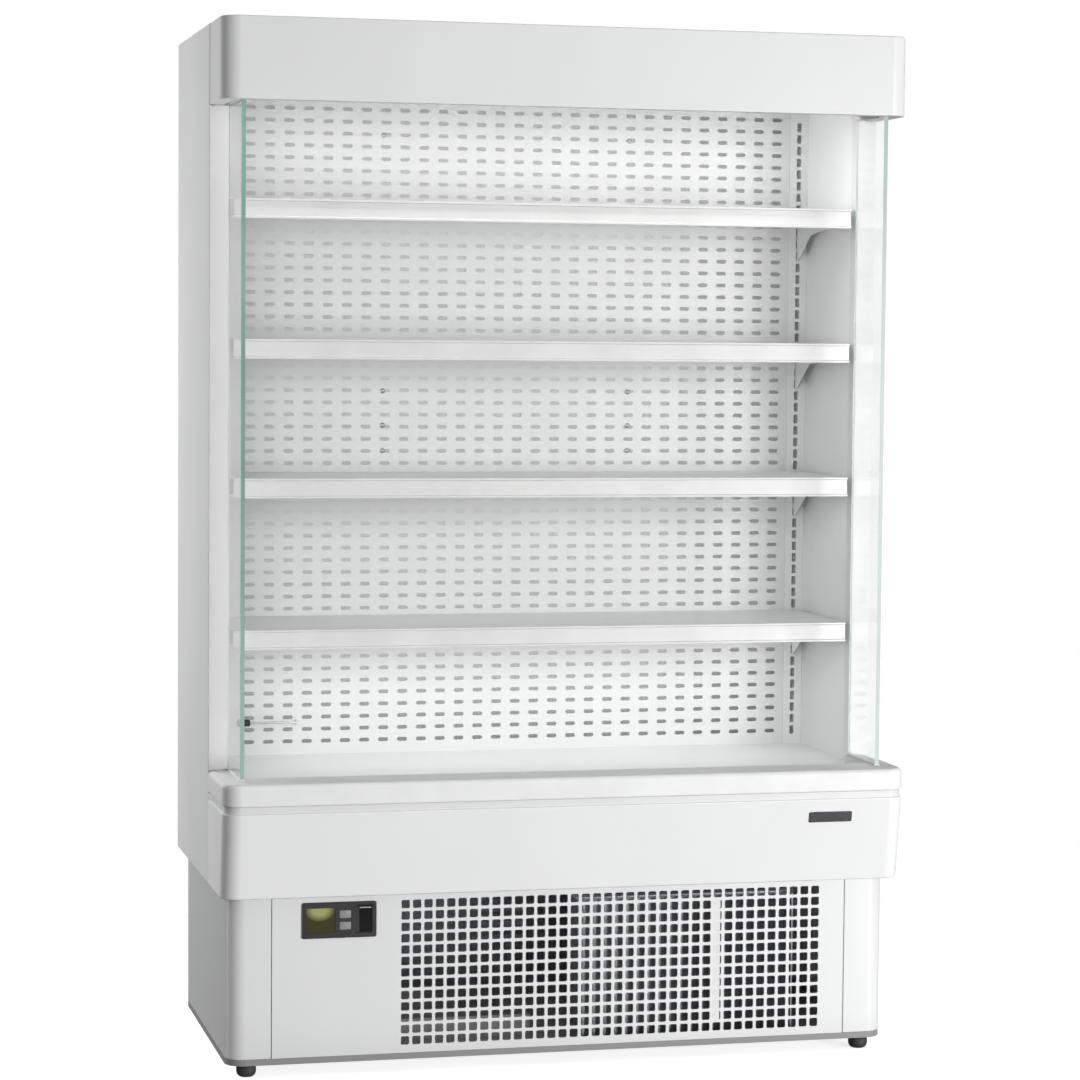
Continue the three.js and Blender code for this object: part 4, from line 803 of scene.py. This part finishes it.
def cloth_sheet():
    """Two faces of the blind's cloth, closed at the edges, with a faint ripple that ends at the roller."""
    width, thickness, plane, bottom = 1209.0, 0.36, -253.62, 1864.3
    rows, columns = 10, 60
    # rows up the front face, then down the back one
    rings = [(j, 0) for j in range(rows + 1)] + [(j, thickness) for j in reversed(range(rows + 1))]
    verts = []
    for j, depth in rings:
        for i in range(columns + 1):
            ripple = 0.08 * math.sin(i * 0.9) * (1 - j / rows)
            verts.append((width * i / columns - width / 2, plane + depth + ripple,
                          bottom + (ROLL_Z - bottom) * j / rows))
    count, last = columns + 1, len(rings) - 1
    faces = quads(count, round_pairs(last + 1), in_line(count))
    for end in (0, columns):
        faces += [tuple(k * count + end for k in (a, b, last - b, last - a)) for a, b in in_line(rows + 1)]
    return verts, faces


def build_blind():
    end, centre = 620.5, (0, ROLL_Y, ROLL_Z)
    roll = [(0, -end), (19.2, -end), (20, 0.9 - end), (20, end - 0.9), (19.2, end), (0, end)]
    piece("blind_roll", *lathe(roll, centre, "X", 40), "cloth", "blind_roller", replaces="blind_roller")
    for name, side in SIDES:
        pin = [(0, end), (4, end), (4, 627.2), (3.4, 627.8), (0, 627.8)]
        pin = lathe([(radius, side * x) for radius, x in pin], centre, "X", 20)
        piece(f"blind_pin_{name}", *pin, "steel", "blind_roller")
    cloth = mesh_object("blind_cloth_sheet", *cloth_sheet(), ["cloth"], 40)
    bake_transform(cloth)
    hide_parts("blind_fabric")
    middle, low = -253.45, 1850.0
    half = [(8, 0), (9, 1), (9, 4.6), (3, 13.2), (2, 14)]
    outline = [(middle + y, low + z) for y, z in half] + [(middle - y, low + z) for y, z in reversed(half)]
    piece("blind_bar", *prism(outline, "X", -612.5, 612.5), "aluminium", "blind_pull", bevel=0.5,
          replaces="blind_pull_bar")


# ---- base


def build_feet():
    profile = [(0, 0), (8, 0), (12.5, 1.0), (15.8, 3.2), (18.0, 6.6), (19, 10.8), (19, 17.5), (18.2, 20.2),
               (15.6, 23.0), (14, 24.4), (13, 25.7), (5, 25.7), (5, 55.2), (4.5, 55.7), (0, 55.7)]
    for end, y in (("front", -240), ("rear", 253)):
        for name, side in SIDES:
            node = f"foot_{end}_{name}"
            piece(f"{node}_pad", *lathe(profile, (side * 615, y, 0), "Z", 36), "rubber", f"levelling_{node}",
                  replaces=node)


def build_base_panels():
    seam, flange, skin = 572.5, 626.5, 2

    def face(side, inset):
        """One side's plan, from its round front corner to its rear edge."""
        path = wrap_path(BASE_HALF - inset, BASE_FRONT + inset, BASE_BACK - inset, CORNER - inset)
        return [(side * x, y) for x, y in path[len(path) // 2:]]

    for name, side in SIDES:
        rear = [(side * flange, BASE_BACK), (side * flange, BASE_BACK - skin)]
        outline = ([(side * seam, BASE_FRONT)] + face(side, 0) + rear + face(side, skin)[::-1]
                   + [(side * seam, BASE_FRONT + skin)])
        panel = piece(f"base_side_{name}_panel", *prism(outline, "Z", BASE_LOW, BASE_HIGH), ["paint", "base"],
                      bevel=0.6, replaces=f"base_side_{name}", angle=40)
        # the side faces take the darker copy of the paint: painted shade on the base's flanks
        second_finish(panel, lambda face: abs(face.normal.x) > 0.93)
        strip = box(mirrored(side, seam - 1.9, seam - 0.1), (BASE_FRONT + 1.2, BASE_FRONT + 9),
                    (BASE_LOW + 1, BASE_HIGH - 1))
        piece(f"base_seam_strip_{name}", *strip, "frame", bevel=0.2)


def build_rear_cover():
    """Zinc cover with pressed hoods over its slots, and the cable gland."""
    half, across, tall = 626.2, 110.0, 9.0
    centres = (-397.5, 0.0, 397.5)
    xs = [-half] + [c + d for c in centres for d in (-62.5, 62.5)] + [half]
    zs = [BASE_LOW] + lines(130, 280, 5) + [BASE_HIGH]
    holes = slots(xs, zs, (1, 3, 5), range(1, 6), across, tall, 2.0)
    piece("rear_cover_sheet", *sheet_with_holes(xs, zs, (BASE_BACK - 2, BASE_BACK), holes), "zinc",
          replaces="base_rear_panel", angle=40)
    # a hood's section: share of its depth, what is added to that, and height from the slot's middle
    section = [(0, -0.2, 8), (0.35, 1, 6.4), (0.75, 1, 3), (1, 1, -2.5), (1, 1, -7),
               (1, 0, -7), (1, 0, -2.3), (0.72, 0, 2.2), (0.3, 0, 5.2), (0, -0.2, 6.6)]
    depths = [(0, 0.3), (2, 4.5), (6, 7.5), (12, 8.8), (98, 8.8), (104, 7.5), (108, 4.5), (110, 0.3)]
    hoods = []
    for centre in centres:
        for j in range(1, 6):
            left, z = centre - across / 2, (zs[j] + zs[j + 1]) / 2
            hoods.append(stack([[(left + x, BASE_BACK + share * depth + more, z + up)
                                 for share, more, up in section] for x, depth in depths]))
    piece("rear_cover_hoods", *merged(*hoods), "zinc", angle=50)
    gland = [(0, 0), (14, 0), (14, 6), (12.2, 7), (12.2, 13), (10.5, 16.6), (8, 18), (5.4, 18), (4.6, 16),
             (4.6, 4), (0, 4)]
    piece("cable_gland", *lathe(gland, (-500, BASE_BACK, 90), "Y", 24), "black")


def build_grille():
    half, left, right, low = 570.5, -324.0, 522.0, 51.0
    columns, rows, pitch_z, opening = 38, 13, 22.0, 16.4
    xs = [-half, -508.0, -375.0] + lines(left, right, columns) + [half]
    zs = [BASE_LOW] + lines(low, low + rows * pitch_z, rows) + [BASE_HIGH]
    squares = slots(xs, zs, range(3, 3 + columns), range(1, rows + 1), opening, opening, 2.2)

    def hole(i, j):
        """Square holes, and the opening behind the controller."""
        return False if i == 1 and j in (11, 12) else squares(i, j)

    sheet = sheet_with_holes(xs, zs, (BASE_FRONT, BASE_FRONT + 2), hole)
    piece("grille_sheet", *sheet, "paint", replaces="grille_panel", angle=40)
    for name, side in SIDES:
        fold = box(mirrored(side, half - 2, half), (BASE_FRONT + 2.02, -257), (BASE_LOW, BASE_HIGH))
        piece(f"grille_return_{name}", *fold, "paint", bevel=0.4)
    # pale upright strip that shows behind one column of holes
    strip = box((303, 317), (BASE_FRONT + 2.3, BASE_FRONT + 9), (74, 314))
    piece("grille_stiffener", *strip, "rail", slot="paint", bevel=0.6)


def build_controller():
    x0, x1, z0, z1 = -513.0, -370.0, 266.0, 335.0
    front, back, rim = -275.0, BASE_FRONT - SEAT, 4.0
    middle = (z0 + z1) / 2
    window = ((-506.3, -449.7), (middle - 23.8, middle + 23.8))
    keys = [((-442.3, -419.7), (z - 7.8, z + 7.8)) for z in (311.5, 289.5)]
    rocker = ((-403.6, -378.4), (middle - 23.6, middle + 23.6))
    holes = [window, *keys, rocker]
    xs = sorted({x0 + rim, x1 - rim, *(x for hole in holes for x in hole[0])})
    zs = sorted({z0 + rim, z1 - rim, *(z for hole in holes for z in hole[1])})

    def cell(i, j):
        x, z = (xs[i] + xs[i + 1]) / 2, (zs[j] + zs[j + 1]) / 2
        return False if any(a < x < b and c < z < d for (a, b), (c, d) in holes) else None

    piece("controller_face", *sheet_with_holes(xs, zs, (front, back), cell), "black",
          replaces="controller_housing", angle=40, bevel=0.5)
    # raised rounded rim round the face
    outer = rounded((x0, x1), (z0, z1), rim, 6)
    inner = rounded((x0 + 3.95, x1 - 3.95), (z0 + 3.95, z1 - 3.95), 0.6, 6)
    eased = [(x + (0.7 if x < (x0 + x1) / 2 else -0.7), z + (0.7 if z < middle else -0.7)) for x, z in outer]
    rings = [(outer, back), (outer, front + 1.0), (eased, front), (inner, front), (inner, back)]
    verts = [(x, y, z) for ring, y in rings for x, z in ring]
    faces = quads(len(outer), round_pairs(len(rings)), round_pairs(len(outer)))
    piece("controller_rim", verts, faces, "black", angle=50)
    body = box((-507.7, -375.3), (back + 0.1, BASE_FRONT + 55), (271.3, 314.7))
    piece("controller_body", *body, "black", bevel=1.0)
    for name, (x, z) in zip(("key_up", "key_down"), keys):
        cap = rounded((x[0] + 0.3, x[1] - 0.3), (z[0] + 0.3, z[1] - 0.3), 2.2)
        cx, cz = sum(x) / 2, sum(z) / 2
        layers = [[(a, y, b) for a, b in cap] for y in (back - 1.2, front - 0.9)]
        layers.append([(cx + (a - cx) * 0.93, front - 1.4, cz + (b - cz) * 0.9) for a, b in cap])
        piece(f"{name}_cap", *stack(layers), "key", name, replaces=name, angle=45)
    # section of the rocker about its pivot, switched to one side
    pivot, tilt, reach = front + 7, math.radians(5), 22.4
    section = [(-8.5, reach), (-7.6, reach * 0.66), (-7.1, reach * 0.3), (-7.0, 0), (-7.1, -reach * 0.3),
               (-7.6, -reach * 0.66), (-8.5, -reach), (-7.9, -reach - 0.3), (0, -0.8 * reach), (2.6, 0),
               (0, 0.8 * reach), (-7.9, reach + 0.3)]
    turned = [(pivot + y * math.cos(tilt) - z * math.sin(tilt),
               middle + y * math.sin(tilt) + z * math.cos(tilt)) for y, z in section]
    piece("rocker_cap", *prism(turned, "X", -402.7, -379.3), "rocker", "light_switch", bevel=0.6,
          segments=3, replaces="light_switch", angle=40)


# ---- machines


def build_compressor():
    x, y, radius, height = 260, 95, 88.0, 190.0
    # shares of radius and height: dome, weld flange and crown
    shell = [(0, 0), (0.55, 0), (0.72, 0.02), (0.86, 0.06), (0.95, 0.13), (0.99, 0.22), (1, 0.3), (1, 0.49),
             (1.04, 0.505), (1.04, 0.55), (1, 0.56), (1, 0.72), (0.98, 0.8), (0.92, 0.88), (0.8, 0.94),
             (0.62, 0.98), (0.4, 1), (0, 1)]
    shell = lathe([(radius * a, height * b) for a, b in shell], (x, y, 42.3), "Z", 56)
    piece("compressor_shell", *shell, "satin_black", replaces="compressor")
    plate = rounded((x - 101, x + 101), (y - 83, y + 83), 12)
    piece("compressor_plate", *prism(plate, "Z", 40.6, 42.2), "zinc", bevel=0.4)
    grommet = [(0, 28.4), (11, 28.4), (12, 29.6), (12, 33), (9.6, 34.4), (12, 35.8), (12, 39.4), (11, 40.5),
               (0, 40.5)]
    for n, (dx, dy) in enumerate(((-89, -71.6), (89, -71.6), (-89, 71.6), (89, 71.6)), 1):
        piece(f"compressor_grommet_{n}", *lathe(grommet, (x + dx, y + dy, 0), "Z", 24), "rubber")
    terminals = rounded((x + 70, x + 104), (y - 31, y + 31), 5, 4)
    piece("compressor_terminal_box", *prism(terminals, "Z", 99, 165), "black", bevel=1.5, segments=3)


# ---- stage, light and camera


def build_stage():
    """Ground patch that catches the contact shadow and fades out into the white surround."""
    half = 2.4
    mesh = bpy.data.meshes.new("floor")
    corners = [(x, y, 0) for x, y in rectangle((-half, half), (-half, half))]
    mesh.from_pydata(corners, [], [(0, 1, 2, 3)])
    floor = add_object("floor", mesh)
    s = Shader("pale_floor", (0.96, 0.96, 0.96), 0.8, Specular_IOR_Level=0.05, Emission_Color=(1, 1, 1, 1),
               Emission_Strength=0.78)
    distance = s.add("VectorMath", {0: s.position()}, operation="LENGTH")["Value"]
    s.set(Alpha=s.spread(distance, 1.0, 0.0, 0.75, 1.7))
    mesh.materials.append(s.material)
    floor.visible_diffuse = False
    floor.visible_glossy = False


# first letters of the names of pieces that share a light
INSIDE = ("back_sheet", "upright", "shelf_", "bracket_", "deck_tray", "ceiling_panel", "panel_screw",
          "probe_")
WRAPPED = ("header_shell", "bumper_top_rail", "fascia_shell")
RIGHT_WALL = ("side_wall_right", "wall_inner_trim_right")
BAY_POWER = (0.08, 0.22, 0.23, 0.27, 0.14)


def area_light(name, place, target, size, power, names=(), state="INCLUDE", glossy=True, through=True):
    """A light in metres and watts, which may light only the named pieces, or all but these."""
    data = bpy.data.lights.new(name, "AREA")
    data.shape = "RECTANGLE"
    data.size, data.size_y = size
    data.energy = power
    light = add_object(name, data)
    light.location = place
    light.rotation_euler = (Vector(target) - Vector(place)).to_track_quat("-Z", "Y").to_euler()
    light.visible_camera = False
    light.visible_glossy = glossy
    light.visible_transmission = through
    if names:
        group = bpy.data.collections.new(f"{name}_group")
        for thing in bpy.data.objects:
            if thing.type == "MESH" and thing.name.startswith(names):
                group.objects.link(thing)
        for member in group.collection_objects:
            member.light_linking.link_state = state
        light.light_linking.receiver_collection = group


def build_world():
    """White to the camera and through glass. As light and in reflections it is dimmer, dimmest from below."""
    world = bpy.data.worlds.new("studio")
    bpy.context.scene.world = world
    world.use_nodes = True
    tree = world.node_tree
    path = add_node(tree, "LightPath", {})
    direction = add_node(tree, "TexCoord", {})["Generated"]
    upward = add_node(tree, "SeparateXYZ", {"Vector": direction})["Z"]
    ambient = add_node(tree, "MapRange", {"Value": upward, "From Min": -0.3, "From Max": 0.4,
                                          "To Min": 0.14, "To Max": 0.40})["Result"]
    rays = {0: path["Is Glossy Ray"], 1: path["Is Transmission Ray"]}
    reflected = add_node(tree, "Math", rays, operation="GREATER_THAN")["Value"]
    rays = {0: path["Is Diffuse Ray"], 1: reflected}
    dimmed_ray = add_node(tree, "Math", rays, operation="MAXIMUM")["Value"]
    strength = add_node(tree, "MapRange", {"Value": dimmed_ray, "To Min": 1.0, "To Max": ambient})
    fill(tree, tree.nodes["Background"], {"Color": (1, 1, 1, 1), "Strength": strength["Result"]})


def build_lights():
    """Last of all, because the lights are linked to pieces by name."""
    area_light("key", (4.1, -5.95, 0.6), (0, -0.2, 0.7), (2.0, 2.2), 428, INSIDE + ("side_wall_left", "tub"),
               "EXCLUDE")
    area_light("interior_side", (-1.6, -3.6, 1.45), (0.1, 0, 1.2), (1.4, 1.4), 37, INSIDE)
    area_light("interior_right", (1.6, -3.6, 1.45), (-0.1, 0, 1.2), (1.4, 1.4), 48, INSIDE)
    area_light("interior_wall", (-2.6, -3.0, 1.8), (0.6, 0, 1.4), (1.4, 1.4), 45, RIGHT_WALL)
    area_light("wall_top", (-0.2, -0.25, 1.78), (0.6345, 0.05, 1.76), (0.2, 0.1), 1.8, RIGHT_WALL,
               glossy=False)
    for name, place, power, state in (("side_fill", (-2.5, 1.45, 1.35), 44, "EXCLUDE"),
                                      ("corner_fill", (-1.88, 2.3, 1.35), 86, "INCLUDE")):
        area_light(name, place, (-0.67, 0.1, 1.3), (1.2, 1.2), power, WRAPPED, state, glossy=False,
                   through=False)
    area_light("header_lamp", (0, -0.17, 1.846), (0, -0.06, 0.6), (1.19, 0.02), 1.1, ("tub",), "EXCLUDE")
    # a faint strip behind the front edge of each bay
    levels = [CEILING - 42, *LEVELS, DECK_TOP]
    for n, power in enumerate(BAY_POWER):
        top = levels[n] - (40 if n else 0)
        height = (top - levels[n + 1]) * 0.5 * MM
        middle = (top - 8) * MM - height / 2
        area_light(f"bay_{n + 1}", (0, -0.108, middle), (0, 1, middle), (1.18, height), power, ("tub",),
                   "EXCLUDE", glossy=False, through=False)
    # the air duct behind the back panel
    for name, middle, height, power in (("plenum", 1.21, 1.3, 1.3), ("plenum_top", 1.79, 0.18, 0.12)):
        area_light(name, (0, 0.2035, middle), (0, 1, middle), (1.17, height), power, glossy=False)
    area_light("deck_light", (0, 0.03, 0.794), (0, 0.03, 0), (1.15, 0.26), 0.7, INSIDE, glossy=False)
    area_light("machines", (0, -0.262, 0.19), (0, 1, 0.19), (1.1, 0.26), 1.6, ("base_frame",), "EXCLUDE",
               glossy=False)


def build_camera():
    yaw, pitch, roll = 0.2408, 0.0626, 0.0083
    focal, picture = 3155.94, 1080    # pixels
    forward = Vector((math.sin(yaw) * math.cos(pitch), math.cos(yaw) * math.cos(pitch), -math.sin(pitch)))
    right = Vector((math.cos(yaw), -math.sin(yaw), 0))
    up = right.cross(forward)
    level_right = right * math.cos(roll) + up * math.sin(roll)
    level_up = up * math.cos(roll) - right * math.sin(roll)
    data = bpy.data.cameras.new("camera")
    data.sensor_width = 36.0
    data.lens = focal / picture * 36.0
    camera = add_object("camera", data)
    turn = Matrix((level_right, level_up, -forward)).transposed().to_4x4()
    camera.matrix_world = Matrix.Translation((-1.4955, -6.1392, 1.4008)) @ turn
    bpy.context.scene.camera = camera
    bpy.context.scene.view_settings.view_transform = "Standard"


for build in (build_camera, build_stage, build_walls, dress_nodes, build_header, build_bumper,
              build_fascia, build_glass, build_back_panel, build_uprights, build_shelves, build_deck,
              build_comb, build_lamp, build_probe, build_blind, build_feet, build_base_panels,
              build_rear_cover, build_grille, build_controller, build_compressor, build_world, build_lights):
    build()
